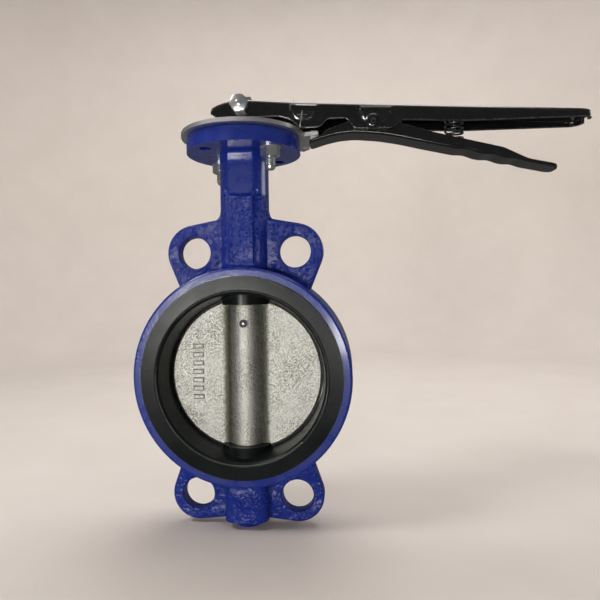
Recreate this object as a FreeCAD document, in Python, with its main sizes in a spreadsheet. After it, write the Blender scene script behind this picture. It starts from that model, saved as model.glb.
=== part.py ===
import FreeCAD, Part
import math
import os
import Sketcher

# DN125 wafer butterfly valve with a notched lever.
# Frame: origin at the centre of the disc, +Z up the stem, bore along Y, lever along +X (closed).
# Lengths are millimetres. A tool that cuts right through runs on past the metal by a millimetre or more.

DIMENSIONS = {
    # ring and seat
    "face_to_face": 56.0,
    "body_width": 53.0,
    "ring_radius": 84.5,
    "ring_edge": 2.0,
    "ring_bore": 70.0,
    "recess_radius": 78.0,
    "recess_depth": 2.5,
    "seat_bore": 62.0,
    "seat_throat": 9.0,
    "seat_mouth": 64.4,
    "seat_flange": 77.6,
    "seat_lip": 2.2,
    "seat_flat": 55.6,
    "seat_flat_radius": 19.0,
    "seat_flat_far": 64.8,
    # ears for the pipe bolts
    "bolt_circle": 210.0,
    "ear_thick": 11.0,
    "ear_hole": 12.6,
    "ear_round": 2.0,
    "ear_hole_edge": 1.5,
    "ear_root_x": 51.0,
    "ear_root_z": 64.0,
    "column_root": 61.0,
    "top_ear_radius": 22.4,
    "low_ear_radius": 21.2,
    # neck, flange and lower boss
    "neck_radius": 19.3,
    "neck_depth": 33.6,
    "crest_high": 123.9,
    "crest_fillet": 8.0,
    "crest_lift": 5.76,
    "crest_overlap": 1.5,
    "neck_fillet": 3.0,
    "neck_shoulder": 143.5,
    "flute_radius": 3.6,
    "flute_x": 12.4,
    "flute_foot": 88.0,
    "flange_radius": 45.0,
    "flange_low": 174.3,
    "flange_top": 186.3,
    "flange_circle": 70.0,
    "flange_hole": 4.6,
    "flange_rim": 2.6,
    "boss_width": 35.0,
    "boss_corner": 9.0,
    "boss_shoulder": 115.0,
    "boss_crest": 115.6,
    "boss_end": 121.0,
    "boss_tip_radius": 10.5,
    "boss_flare": 6.0,
    # stems, bushes and seals
    "stem_radius": 9.46,
    "running_fit": 0.06,
    "stem_bore": 10.2,
    "bush_radius": 12.5,
    "bush_length": 16.0,
    "inner_bush_near": 60.0,
    "top_bush_low": 168.0,
    "inner_bush_far": 90.0,
    "seal_groove": 12.4,
    "seal_section": 1.27,
    "seal_play": 0.4,
    "seal_one": 153.7,
    "seal_two": 160.2,
    "clip_low": 184.5,
    "clip_thick": 1.2,
    "clip_radius": 13.3,
    "clip_gap": 8.0,
    "stem_square": 14.0,
    "square_low": 190.0,
    "stem_top": 218.3,
    "stem_foot": 115.0,
    "stem_gap": 14.0,
    # disc
    "disc_radius": 61.65,
    "disc_flat": 55.2,
    "disc_flat_radius": 19.5,
    "disc_half": 4.2,
    "disc_bevel": 2.4,
    "disc_bevel_high": 2.16,
    "hub_radius": 13.0,
    "hub_fillet": 8.0,
    "pin_height": 40.8,
    "pin_big": 3.1,
    "pin_small": 2.7,
    "mark_x": 39.0,
    "mark_length": 8.0,
    "mark_pitch": 6.8,
    "mark_high": 3.2,
    "mark_proud": 1.0,
    # notch plate
    "plate_radius": 49.0,
    "plate_thick": 3.0,
    "plate_hole": 10.8,
    "sector_radius": 60.0,
    "sector_margin": 7.0,
    "notch_floor": 52.5,
    "notch_width": 5.4,
    "notch_pitch": 15.0,
    # fasteners, size M8
    "bolt_radius": 4.0,
    "bolt_clear": 4.5,
    "hex_flats": 13.0,
    "head_high": 5.3,
    "nut_high": 6.5,
    "washer_radius": 8.0,
    "washer_thick": 1.6,
    "screw_head": 7.4,
    "screw_fit": 0.1,
    "plate_bolt_length": 32.6,
    "lever_bolt_high": 210.0,
    "lever_bolt_length": 40.0,
    "spring_washer_radius": 7.4,
    "spring_washer_thick": 2.0,
    # lever arm
    "arm_half": 14.0,
    "arm_sheet": 2.5,
    "arm_bend": 3.5,
    "arm_tip_round": 9.0,
    "arm_corner": 5.0,
    "arm_end": 262.0,
    "socket_low": 190.2,
    "socket_high": 205.0,
    "socket_half": 12.0,
    "dimple_proud": 0.8,
    "front_pin_x": 48.0,
    "front_pin_z": 200.0,
    "front_pin_radius": 2.0,
    # trigger
    "pivot_x": 101.6,
    "pivot_z": 192.7,
    "pivot_radius": 3.0,
    "pivot_fit": 0.05,
    "pivot_head": 6.2,
    "pivot_head_high": 2.4,
    "trigger_half": 11.0,
    "trigger_sheet": 2.0,
    "trigger_bend": 1.2,
    "trigger_tip_round": 6.0,
    "trigger_end": 238.0,
    "tooth_near": 53.6,
    "tooth_far": 58.8,
    "tooth_width": 4.6,
    "tooth_top": 191.4,
    "tooth_root": 181.45,
    "trigger_front_floor": 181.6,
    # trigger spring
    "spring_x": 164.0,
    "spring_radius": 6.5,
    "spring_wire": 0.8,
    "spring_low": 175.3,
    "spring_high": 199.3,
    "spring_turns": 6.0,
    "stud_radius": 4.2,
    "stud_low": 194.5,
    "stud_high": 199.95,
    "stud_shank": 2.5,
}

NOTCH_COUNT = 7
MARK_COUNT = 7
ROOF_BAND = 8.0
CHANNEL_FOOT = "180"
EPSILON = 1e-6

doc = FreeCAD.newDocument("butterfly_valve")
sheet = doc.addObject("Spreadsheet::Sheet", "dims")
for row, (alias, number) in enumerate(DIMENSIONS.items(), start=1):
    sheet.set(f"A{row}", alias)
    sheet.set(f"B{row}", str(number))
    sheet.setAlias(f"B{row}", alias)
doc.recompute()

X_AXIS = FreeCAD.Vector(1, 0, 0)
Y_AXIS = FreeCAD.Vector(0, 1, 0)
Z_AXIS = FreeCAD.Vector(0, 0, 1)
ALONG_X = FreeCAD.Rotation(Y_AXIS, 90)
ALONG_Y = FreeCAD.Rotation(X_AXIS, -90)
UPRIGHT = FreeCAD.Rotation()

nodes = []


def size(formula):
    """Return the number that a formula over the sheet's cells gives."""
    result = sheet.evalExpression(str(formula))
    return float(getattr(result, "Value", result))


def bind(item, formulas):
    """Bind properties of an object to formulas over the sheet."""
    for name, formula in formulas.items():
        item.setExpression(name, str(formula))


def place(item, x="0", y="0", z="0", turn=UPRIGHT):
    """Give an object its rotation and bind the three coordinates of its place."""
    item.Placement = FreeCAD.Placement(FreeCAD.Vector(size(x), size(y), size(z)), turn)
    bind(item, {"Placement.Base.x": x, "Placement.Base.y": y, "Placement.Base.z": z})
    return item


def cylinder(name, radius, height, x="0", y="0", z="0", turn=UPRIGHT):
    """A solid cylinder that grows from its base point along its turned Z axis."""
    item = doc.addObject("Part::Cylinder", name)
    bind(item, {"Radius": radius, "Height": height})
    return place(item, x, y, z, turn)


def cone(name, low, high, height, x="0", y="0", z="0", turn=UPRIGHT):
    """A truncated cone with a low and a high radius."""
    item = doc.addObject("Part::Cone", name)
    bind(item, {"Radius1": low, "Radius2": high, "Height": height})
    return place(item, x, y, z, turn)


def block(name, length, width, height, x, y, z):
    """A box whose lowest corner is at x, y, z."""
    item = doc.addObject("Part::Box", name)
    bind(item, {"Length": length, "Width": width, "Height": height})
    return place(item, x, y, z)


def hexagon(name, flats, height, x="0", y="0", z="0", turn=UPRIGHT):
    """A hexagonal prism given by its width across flats."""
    item = doc.addObject("Part::Prism", name)
    item.Polygon = 6
    bind(item, {"Circumradius": f"({flats}) / sqrt(3)", "Height": height})
    return place(item, x, y, z, turn)


def fuse(name, pieces):
    """Join several solids into one."""
    item = doc.addObject("Part::MultiFuse", name)
    item.Shapes = pieces
    item.Refine = True
    return item


def common(name, pieces):
    """Keep only what several solids share."""
    item = doc.addObject("Part::MultiCommon", name)
    item.Shapes = pieces
    return item


def cut(name, base, tools):
    """Remove tools from a base solid."""
    tool = tools[0] if len(tools) == 1 else fuse(f"{name}_tools", tools)
    item = doc.addObject("Part::Cut", name)
    item.Base = base
    item.Tool = tool
    return item


def edge_names(shape, wanted):
    """Names of the edges of a shape that pass a test."""
    return [f"Edge{number}" for number, edge in enumerate(shape.Edges, start=1) if wanted(edge)]


def rounded(name, base, radius, wanted):
    """Fillet the edges of a Part object that pass a test."""
    doc.recompute()
    item = doc.addObject("Part::Fillet", name)
    item.Base = base
    numbers = [int(edge[4:]) for edge in edge_names(base.Shape, wanted)]
    item.Edges = [(number, size(radius), size(radius)) for number in numbers]
    return item


def node(item, label):
    """Register a finished sub-part under the name of its file."""
    item.Label = label
    nodes.append(item)
    return item


def new_body(name):
    """A PartDesign body."""
    return doc.addObject("PartDesign::Body", name)


def sketch_on(body, name, role):
    """An empty sketch on one of a body's origin planes."""
    sketch = body.newObject("Sketcher::SketchObject", name)
    plane = next(item for item in body.Origin.OriginFeatures if item.Role == role)
    sketch.AttachmentSupport = [(plane, "")]
    sketch.MapMode = "FlatFace"
    return sketch


def pin_coordinate(sketch, geometry, end, kind, formula):
    """Fix one coordinate of a sketch point, DistanceX or DistanceY, at a formula."""
    number = size(formula)
    if abs(number) < EPSILON:
        axis = -2 if kind == "DistanceX" else -1
        sketch.addConstraint(Sketcher.Constraint("PointOnObject", geometry, end, axis))
        return
    index = sketch.addConstraint(Sketcher.Constraint(kind, -1, 1, geometry, end, number))
    sketch.setExpression(f"Constraints[{index}]", str(formula))


def pin_point(sketch, geometry, end, x, y):
    """Fix one point of a sketch at a pair of formulas."""
    pin_coordinate(sketch, geometry, end, "DistanceX", x)
    pin_coordinate(sketch, geometry, end, "DistanceY", y)


def outline(sketch, corners):
    """Draw a closed polygon whose corners are pairs of formulas."""
    points = [FreeCAD.Vector(size(x), size(y), 0) for x, y in corners]
    first = sketch.GeometryCount
    count = len(points)
    for number in range(count):
        sketch.addGeometry(Part.LineSegment(points[number], points[(number + 1) % count]), False)
    for number in range(count):
        following = first + (number + 1) % count
        sketch.addConstraint(Sketcher.Constraint("Coincident", first + number, 2, following, 1))
    for number, (x, y) in enumerate(corners):
        pin_point(sketch, first + number, 1, x, y)


def circle(sketch, x, y, radius):
    """Draw a circle with its centre and radius given by formulas."""
    centre = FreeCAD.Vector(size(x), size(y), 0)
    index = sketch.addGeometry(Part.Circle(centre, Z_AXIS, size(radius)), False)
    pin_point(sketch, index, 3, x, y)
    number = sketch.addConstraint(Sketcher.Constraint("Radius", index, size(radius)))
    sketch.setExpression(f"Constraints[{number}]", str(radius))


def pad(body, name, sketch, length, both_sides=True):
    """Pad a sketch, half to each side of its plane unless told otherwise."""
    item = body.newObject("PartDesign::Pad", name)
    item.Profile = sketch
    item.Midplane = both_sides
    bind(item, {"Length": length})
    doc.recompute()
    return item


def pocket(body, name, sketch, length):
    """Cut a sketch out, half to each side of its plane, and check that it removed metal."""
    before = body.Shape.Volume
    item = body.newObject("PartDesign::Pocket", name)
    item.Profile = sketch
    item.Midplane = True
    bind(item, {"Length": length})
    doc.recompute()
    if not body.Shape.Volume < before - EPSILON:
        raise RuntimeError(f"{name} removes nothing")
    return item


def body_fillet(body, name, radius, wanted):
    """Fillet edges of a body's tip that pass a test, and check that it worked."""
    tip = body.Tip
    item = body.newObject("PartDesign::Fillet", name)
    item.Base = (tip, edge_names(tip.Shape, wanted))
    bind(item, {"Radius": radius})
    doc.recompute()
    if "Invalid" in item.State:
        raise RuntimeError(f"{name} failed on {item.Base[1]}")
    return item


def is_upright(edge, shortest=1.0):
    """True for a straight edge parallel to Z."""
    box = edge.BoundBox
    return box.XLength < 0.01 and box.YLength < 0.01 and box.ZLength > shortest


def is_crosswise(edge):
    """True for a straight edge parallel to Y."""
    box = edge.BoundBox
    return box.XLength < 0.01 and box.ZLength < 0.01 and box.YLength > 1.0


def on_radius(edge, axis_x, axis_z, radius):
    """True for a circle along Y round the axis at x, z with the given radius."""
    curve = edge.Curve
    if not isinstance(curve, Part.Circle) or abs(curve.Radius - radius) > 0.01:
        return False
    return abs(curve.Center.x - axis_x) < 0.01 and abs(curve.Center.z - axis_z) < 0.01


HOLE_X = "dims.bolt_circle / 2 * sin(22.5)"
HOLE_Z = "dims.bolt_circle / 2 * cos(22.5)"
FLANGE_X = "dims.flange_circle / 2 * sqrt(0.5)"
SIDES = {"left": "-1", "right": "1"}
PLATE_TOP = "dims.flange_top + dims.plate_thick"
ARM_INNER = "dims.arm_half - dims.arm_sheet"


# ---------------------------------------------------------------- valve body

def ear_plate(name, radius, level, root, shoulder):
    """One flat web with a pair of rounded ears, symmetric about the stem.

    On each side the outline runs from the root inside the ring, round the ear
    by an arc that both neighbouring lines touch, to the shoulder on the neck.
    """
    body = new_body(name)
    sketch = sketch_on(body, f"{name}_outline", "XZ_Plane")
    ends = {}
    for side_name, sign in SIDES.items():
        ends[side_name] = draw_ear(sketch, sign, level, radius, root, shoulder)
    for left, right in zip(ends["left"], ends["right"]):
        points = [sketch.getPoint(*left), sketch.getPoint(*right)]
        bridge = sketch.addGeometry(Part.LineSegment(*points), False)
        sketch.addConstraint(Sketcher.Constraint("Coincident", *left, bridge, 1))
        sketch.addConstraint(Sketcher.Constraint("Coincident", *right, bridge, 2))
    pad(body, f"{name}_pad", sketch, "dims.ear_thick")
    body_fillet(body, f"{name}_edges", "dims.ear_round", is_on_ear_face)
    return body


def touching_angle(point, centre, radius, turn):
    """Angle on a circle where the line from an outside point touches it."""
    away = point - centre
    return math.atan2(away.y, away.x) + turn * math.acos(radius / away.Length)


def draw_ear(sketch, sign, level, radius, root, shoulder):
    """Draw one ear: line, arc and line, tangent where they meet; return the free ends."""
    mirror = size(sign)
    upright = size(level)
    centre = FreeCAD.Vector(mirror * size(HOLE_X), upright * size(HOLE_Z), 0)
    start = FreeCAD.Vector(mirror * size(root[0]), upright * size(root[1]), 0)
    finish = FreeCAD.Vector(mirror * size(shoulder[0]), upright * size(shoulder[1]), 0)
    spin = mirror * upright
    first = touching_angle(start, centre, size(radius), spin)
    last = touching_angle(finish, centre, size(radius), -spin)
    rim = Part.Circle(centre, Z_AXIS, size(radius))
    span = (first, last) if spin > 0 else (last, first)
    touch_start = centre + size(radius) * FreeCAD.Vector(math.cos(first), math.sin(first), 0)
    touch_finish = centre + size(radius) * FreeCAD.Vector(math.cos(last), math.sin(last), 0)
    side = sketch.addGeometry(Part.LineSegment(start, touch_start), False)
    arc = sketch.addGeometry(Part.ArcOfCircle(rim, span[0], span[1]), False)
    crest = sketch.addGeometry(Part.LineSegment(touch_finish, finish), False)
    arc_ends = (1, 2) if spin > 0 else (2, 1)
    sketch.addConstraint(Sketcher.Constraint("Tangent", side, 2, arc, arc_ends[0]))
    sketch.addConstraint(Sketcher.Constraint("Tangent", arc, arc_ends[1], crest, 1))
    pin_point(sketch, arc, 3, f"{sign} * {HOLE_X}", f"{level} * {HOLE_Z}")
    number = sketch.addConstraint(Sketcher.Constraint("Radius", arc, size(radius)))
    sketch.setExpression(f"Constraints[{number}]", radius)
    pin_point(sketch, side, 1, f"{sign} * {root[0]}", f"{level} * {root[1]}")
    pin_point(sketch, crest, 2, f"{sign} * ({shoulder[0]})", f"{level} * ({shoulder[1]})")
    return (side, 1), (crest, 2)


def is_on_ear_face(edge):
    """True for an edge that lies on the front or back face of an ear plate."""
    box = edge.BoundBox
    return box.YLength < 0.01 and abs(abs(box.Center.y) - size("dims.ear_thick") / 2) < 0.01


def neck_column():
    """The round neck between the ring and the top flange, with a flat front and back."""
    high = "dims.flange_low - dims.column_root + 1"
    column = cylinder("neck_round", "dims.neck_radius", high, z="dims.column_root")
    flats = block("neck_flats", "2 * dims.neck_radius + 2", "dims.neck_depth", high,
                  "-dims.neck_radius - 1", "-dims.neck_depth / 2", "dims.column_root")
    return common("neck_column", [column, flats])


def crest_fillet(side_name, sign):
    """The fillet in the corner between the neck and the crest of one upper ear."""
    reach = "dims.neck_radius + dims.crest_fillet"
    lift = "dims.crest_high + dims.crest_lift"
    side = f"{sign} * ({reach})"
    thick = "(dims.ear_thick - 2.3 * dims.ear_round)"
    left = {
        "1": "dims.neck_radius - dims.crest_overlap",
        "-1": "dims.crest_overlap - dims.neck_radius - dims.crest_fillet",
    }[sign]
    corner = block(f"crest_corner_{side_name}", "dims.crest_fillet", thick, "1.5 * dims.crest_fillet", left,
                   f"-{thick} / 2", f"{lift} - 1.5 * dims.crest_fillet")
    hollow = cylinder(f"crest_hollow_{side_name}", "dims.crest_fillet", "dims.ear_thick", side,
                      "-dims.ear_thick / 2", lift, ALONG_Y)
    return cut(f"crest_fillet_{side_name}", corner, [hollow])


def neck_fillet(side_name, sign):
    """The fillet between one flat of the neck and the underside of the flange."""
    half_flat = "sqrt(dims.neck_radius ^ 2 - dims.neck_depth ^ 2 / 4)"
    out = "dims.neck_depth / 2 + dims.neck_fillet"
    near = {"1": "dims.neck_depth / 2 - 1", "-1": f"-({out})"}[sign]
    foot = "dims.flange_low - dims.neck_fillet"
    corner = block(f"neck_corner_{side_name}", f"2 * {half_flat}", "dims.neck_fillet + 1",
                   "dims.neck_fillet + 1", f"-{half_flat}", near, foot)
    hollow = cylinder(f"neck_hollow_{side_name}", "dims.neck_fillet", f"2 * {half_flat} + 2",
                      f"-{half_flat} - 1", f"{sign} * ({out})", foot, ALONG_X)
    return cut(f"neck_fillet_{side_name}", corner, [hollow])


def boss_column():
    """The lower column that holds the foot of the stem, with the flared stub that ends it."""
    column = block("boss_block", "dims.boss_width", "dims.boss_width",
                   "dims.boss_shoulder - dims.column_root", "-dims.boss_width / 2",
                   "-dims.boss_width / 2", "-dims.boss_shoulder")
    shaped = rounded("boss_rounded", column, "dims.boss_corner", is_upright)
    stub = cylinder("boss_stub", "dims.boss_tip_radius + dims.boss_flare", "dims.boss_flare + 1",
                    z="-dims.boss_end")
    hollow = doc.addObject("Part::Torus", "boss_flare_hollow")
    bind(hollow, {"Radius1": "dims.boss_tip_radius + dims.boss_flare", "Radius2": "dims.boss_flare"})
    place(hollow, z="-dims.boss_end")
    return [shaped, cut("boss_flared_stub", stub, [hollow])]


def flange_disc():
    """The top flange with a rounded upper rim."""
    disc = cylinder("flange_blank", "dims.flange_radius", "dims.flange_top - dims.flange_low",
                    z="dims.flange_low")
    return rounded("flange_rounded", disc, "dims.flange_rim",
                   lambda edge: edge.BoundBox.ZMin > size("dims.flange_top") - 0.1)


def stem_passages():
    """Everything bored on the stem axis inside the casting."""
    top_pocket = "dims.flange_top - dims.top_bush_low + 1"
    inner_pocket = "dims.inner_bush_far - dims.inner_bush_near"
    half_groove = "dims.seal_section + dims.seal_play"
    groove = f"2 * ({half_groove})"
    return [
        cylinder("upper_bore", "dims.stem_bore", "dims.flange_top - dims.inner_bush_near + 1",
                 z="dims.inner_bush_near"),
        cylinder("lower_bore", "dims.stem_bore", "dims.stem_foot - dims.inner_bush_near + 2",
                 z="-dims.stem_foot - 2"),
        cylinder("top_bush_pocket", "dims.bush_radius", top_pocket, z="dims.top_bush_low"),
        cylinder("neck_bush_pocket", "dims.bush_radius", inner_pocket, z="dims.inner_bush_near"),
        cylinder("foot_bush_pocket", "dims.bush_radius", inner_pocket, z="-dims.inner_bush_far"),
        cylinder("seal_groove_one", "dims.seal_groove", groove, z=f"dims.seal_one - ({half_groove})"),
        cylinder("seal_groove_two", "dims.seal_groove", groove, z=f"dims.seal_two - ({half_groove})"),
        cylinder("clip_groove", "dims.clip_radius", "dims.clip_thick + 0.1", z="dims.clip_low"),
    ]


def neck_flutes():
    """Round-ended grooves down both edges of the front and back of the neck."""
    tools = []
    for side_name, sign in SIDES.items():
        for face_name, face in (("front", "-1"), ("back", "1")):
            name = f"flute_{face_name}_{side_name}"
            x = f"{sign} * dims.flute_x"
            y = f"{face} * dims.neck_depth / 2"
            tools.append(cylinder(name, "dims.flute_radius", "dims.neck_shoulder - dims.flute_foot", x, y,
                                  "dims.flute_foot"))
            ball = doc.addObject("Part::Sphere", f"{name}_end")
            bind(ball, {"Radius": "dims.flute_radius"})
            tools.append(place(ball, x, y, "dims.neck_shoulder"))
    return tools


def valve_body():
    """The casting: ring, four ears, fluted neck, top flange and lower boss."""
    ring_blank = cylinder("ring_blank", "dims.ring_radius", "dims.body_width",
                          y="-dims.body_width / 2", turn=ALONG_Y)
    ring = rounded("ring_edges", ring_blank, "dims.ring_edge",
                   lambda edge: on_radius(edge, 0, 0, size("dims.ring_radius")))
    ear_root = ("dims.ear_root_x", "dims.ear_root_z")
    top = ear_plate("top_ears", "dims.top_ear_radius", "1", ear_root,
                    ("dims.neck_radius - 1", "dims.crest_high"))
    low = ear_plate("low_ears", "dims.low_ear_radius", "-1", ear_root,
                    ("dims.boss_width / 2 - 3", "dims.boss_crest"))
    solids = [ring, top, low, neck_column(), flange_disc()] + boss_column()
    solids += [crest_fillet(side_name, sign) for side_name, sign in SIDES.items()]
    solids += [neck_fillet(side_name, sign) for side_name, sign in (("front", "-1"), ("back", "1"))]
    shell = fuse("casting", solids)
    tools = [
        cylinder("ring_bore_tool", "dims.ring_bore", "dims.body_width + 2",
                 y="-dims.body_width / 2 - 1", turn=ALONG_Y),
    ]
    for name, start in (("front", "-dims.body_width / 2 - 1"),
                        ("back", "dims.body_width / 2 - dims.recess_depth")):
        tools.append(cylinder(f"seat_recess_{name}", "dims.recess_radius", "dims.recess_depth + 1",
                              y=start, turn=ALONG_Y))
    for side_name, sign in SIDES.items():
        for level, level_sign in (("top", "1"), ("low", "-1")):
            tools.append(cylinder(f"ear_hole_{level}_{side_name}", "dims.ear_hole",
                                  "dims.ear_thick + 2", f"{sign} * {HOLE_X}",
                                  "-dims.ear_thick / 2 - 1", f"{level_sign} * {HOLE_Z}", ALONG_Y))
            tools.append(cylinder(f"flange_hole_{level}_{side_name}", "dims.flange_hole",
                                  "dims.flange_top - dims.flange_low + 2",
                                  f"{sign} * {FLANGE_X}", f"{level_sign} * {FLANGE_X}",
                                  "dims.flange_low - 1"))
    bored = cut("casting_bored", shell, tools + stem_passages() + neck_flutes())
    return rounded("valve_body", bored, "dims.ear_hole_edge", is_ear_hole_edge)


def is_ear_hole_edge(edge):
    """True for the rim of one of the four ear holes, on either face."""
    centres = [(x * size(HOLE_X), z * size(HOLE_Z)) for x in (-1, 1) for z in (-1, 1)]
    return any(on_radius(edge, x, z, size("dims.ear_hole")) for x, z in centres)


# ---------------------------------------------------------------- seat and bearings

def seat_liner():
    """The rubber seat: a flared sleeve with a flange on each face and two stem flats."""
    half = "dims.face_to_face / 2"
    shoulder = "dims.body_width / 2 - dims.recess_depth"
    upper = [
        ("dims.seat_bore", "dims.seat_throat"),
        ("dims.seat_mouth", half),
        ("dims.seat_flange", half),
        ("dims.seat_flange", shoulder),
        ("dims.ring_bore", shoulder),
    ]
    lower = [(x, f"-({y})") for x, y in reversed(upper)]
    body = new_body("seat_sleeve")
    sketch = sketch_on(body, "seat_section", "XY_Plane")
    outline(sketch, upper + lower)
    turned = body.newObject("PartDesign::Revolution", "seat_turned")
    turned.Profile = sketch
    turned.ReferenceAxis = (sketch, ["V_Axis"])
    turned.Angle = 360
    doc.recompute()
    body_fillet(body, "seat_lips", "dims.seat_lip",
                lambda edge: on_radius(edge, 0, 0, size("dims.seat_mouth")))
    flats = [
        cylinder(f"seat_flat_{name}", "dims.seat_flat_radius", "dims.seat_flat_far - dims.seat_flat", z=start)
        for name, start in (("top", "dims.seat_flat"), ("low", "-dims.seat_flat_far"))
    ]
    solid = fuse("seat_solid", [body] + flats)
    hole = cylinder("seat_stem_hole", "dims.stem_radius + dims.running_fit",
                    "2 * dims.recess_radius", z="-dims.recess_radius")
    return cut("seat_liner", solid, [hole])


def sleeve(name, outer, inner, height, z):
    """A plain ring round the stem axis."""
    outside = cylinder(f"{name}_outer", outer, height, z=z)
    inside = cylinder(f"{name}_inner", inner, f"{height} + 2", z=f"{z} - 1")
    return cut(name, outside, [inside])


def o_ring(name, height):
    """An O-ring that seals the stem in the neck."""
    ring = doc.addObject("Part::Torus", name)
    bind(ring, {"Radius1": "dims.stem_radius + dims.running_fit + dims.seal_section",
                "Radius2": "dims.seal_section"})
    return place(ring, z=height)


def retaining_clip():
    """The split retaining ring in its groove at the top of the neck."""
    ring = sleeve("clip_ring", "dims.clip_radius", "dims.stem_bore + 0.2", "dims.clip_thick", "dims.clip_low")
    gap = block("clip_opening", "dims.clip_radius", "dims.clip_gap", "dims.clip_thick + 2",
                "dims.stem_bore - 2", "-dims.clip_gap / 2", "dims.clip_low - 1")
    return cut("retaining_clip", ring, [gap])


# ---------------------------------------------------------------- disc and stems

def disc_blank():
    """The disc before boring: two plates blended into a hub, inside a sphere."""
    half = "dims.disc_half"
    body = new_body("disc_cross")
    sketch = sketch_on(body, "disc_plate_outline", "XY_Plane")
    reach = "dims.disc_radius + 1"
    outline(sketch, [(f"-({reach})", f"-{half}"), (reach, f"-{half}"), (reach, half), (f"-({reach})", half)])
    pad(body, "disc_plates", sketch, "2 * dims.disc_radius")
    hub_sketch = sketch_on(body, "hub_outline", "XY_Plane")
    circle(hub_sketch, "0", "0", "dims.hub_radius")
    pad(body, "disc_hub", hub_sketch, "2 * dims.disc_radius")
    meeting = math.sqrt(size("dims.hub_radius") ** 2 - size(half) ** 2)
    body_fillet(body, "hub_valleys", "dims.hub_fillet",
                lambda edge: is_upright(edge) and abs(abs(edge.BoundBox.Center.x) - meeting) < 0.05)
    ball = doc.addObject("Part::Sphere", "disc_ball")
    bind(ball, {"Radius": "dims.disc_radius"})
    return common("disc_spherical", [body, ball])


def disc_bevels():
    """Two coned collars that bevel the disc's rim on both faces."""
    tools = []
    for name, turn in (("front", FreeCAD.Rotation(X_AXIS, 90)), ("back", ALONG_Y)):
        start = "dims.disc_half - dims.disc_bevel_high"
        y = start if name == "back" else f"-({start})"
        outside = cylinder(f"bevel_{name}_outer", "dims.ring_bore", "dims.disc_bevel_high + 1", y=y, turn=turn)
        inside = cone(f"bevel_{name}_inner", "dims.disc_radius", "dims.disc_radius - dims.disc_bevel - 1.1",
                      "dims.disc_bevel_high + 1", y=y, turn=turn)
        tools.append(cut(f"bevel_{name}", outside, [inside]))
    return tools


def raised_marks():
    """A plain column of short raised bars cast on the front face."""
    marks = []
    for number in range(MARK_COUNT):
        offset = f"({number} - {(MARK_COUNT - 1) / 2}) * dims.mark_pitch"
        marks.append(block(f"mark_{number}", "dims.mark_length", "dims.mark_proud + 1", "dims.mark_high",
                           "-dims.mark_x - dims.mark_length / 2",
                           "-dims.disc_half - dims.mark_proud", f"{offset} + 0.3"))
    return marks


def pin_cone(name):
    """The tapered pin's own shape, used for the pin and for its holes."""
    return cone(name, "dims.pin_big", "dims.pin_small", "2 * dims.hub_radius + 0.6",
                y="-dims.hub_radius - 0.3", z="dims.pin_height", turn=ALONG_Y)


def disc():
    """The finished disc, bored for both stems and drilled for the pin."""
    solid = fuse("disc_with_marks", [disc_blank()] + raised_marks())
    bores = [
        cylinder(f"disc_bore_{name}", "dims.stem_radius", "dims.disc_flat", z=start)
        for name, start in (("top", "dims.stem_gap"), ("low", "-dims.stem_gap - dims.disc_flat"))
    ]
    flats = [
        cylinder(f"disc_flat_{name}", "dims.disc_flat_radius", "dims.disc_flat", z=start)
        for name, start in (("top", "dims.disc_flat"), ("low", "-2 * dims.disc_flat"))
    ]
    return cut("disc", solid, disc_bevels() + flats + bores + [pin_cone("disc_pin_hole")])


def upper_stem():
    """The driving stem: round in the neck, square at the top and cross-drilled twice."""
    shaft = cylinder("upper_shaft", "dims.stem_radius", "dims.square_low - dims.stem_gap", z="dims.stem_gap")
    square = block("stem_square_block", "dims.stem_square", "dims.stem_square",
                   "dims.stem_top - dims.square_low + 1", "-dims.stem_square / 2",
                   "-dims.stem_square / 2", "dims.square_low - 1")
    round_top = cylinder("stem_square_round", "dims.stem_radius",
                         "dims.stem_top - dims.square_low + 1", z="dims.square_low - 1")
    top = common("stem_square_end", [square, round_top])
    solid = fuse("upper_stem_solid", [shaft, top])
    cross = cylinder("stem_cross_hole", "dims.bolt_radius + 0.15", "2 * dims.arm_half", y="-dims.arm_half",
                     z="dims.lever_bolt_high", turn=ALONG_Y)
    return cut("upper_stem", solid, [pin_cone("stem_pin_hole"), cross])


# ---------------------------------------------------------------- notch plate

def polar(radius, angle):
    """Formulas for a point at a radius and an angle in degrees."""
    return (f"({radius}) * cos({angle})", f"({radius}) * sin({angle})")


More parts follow.
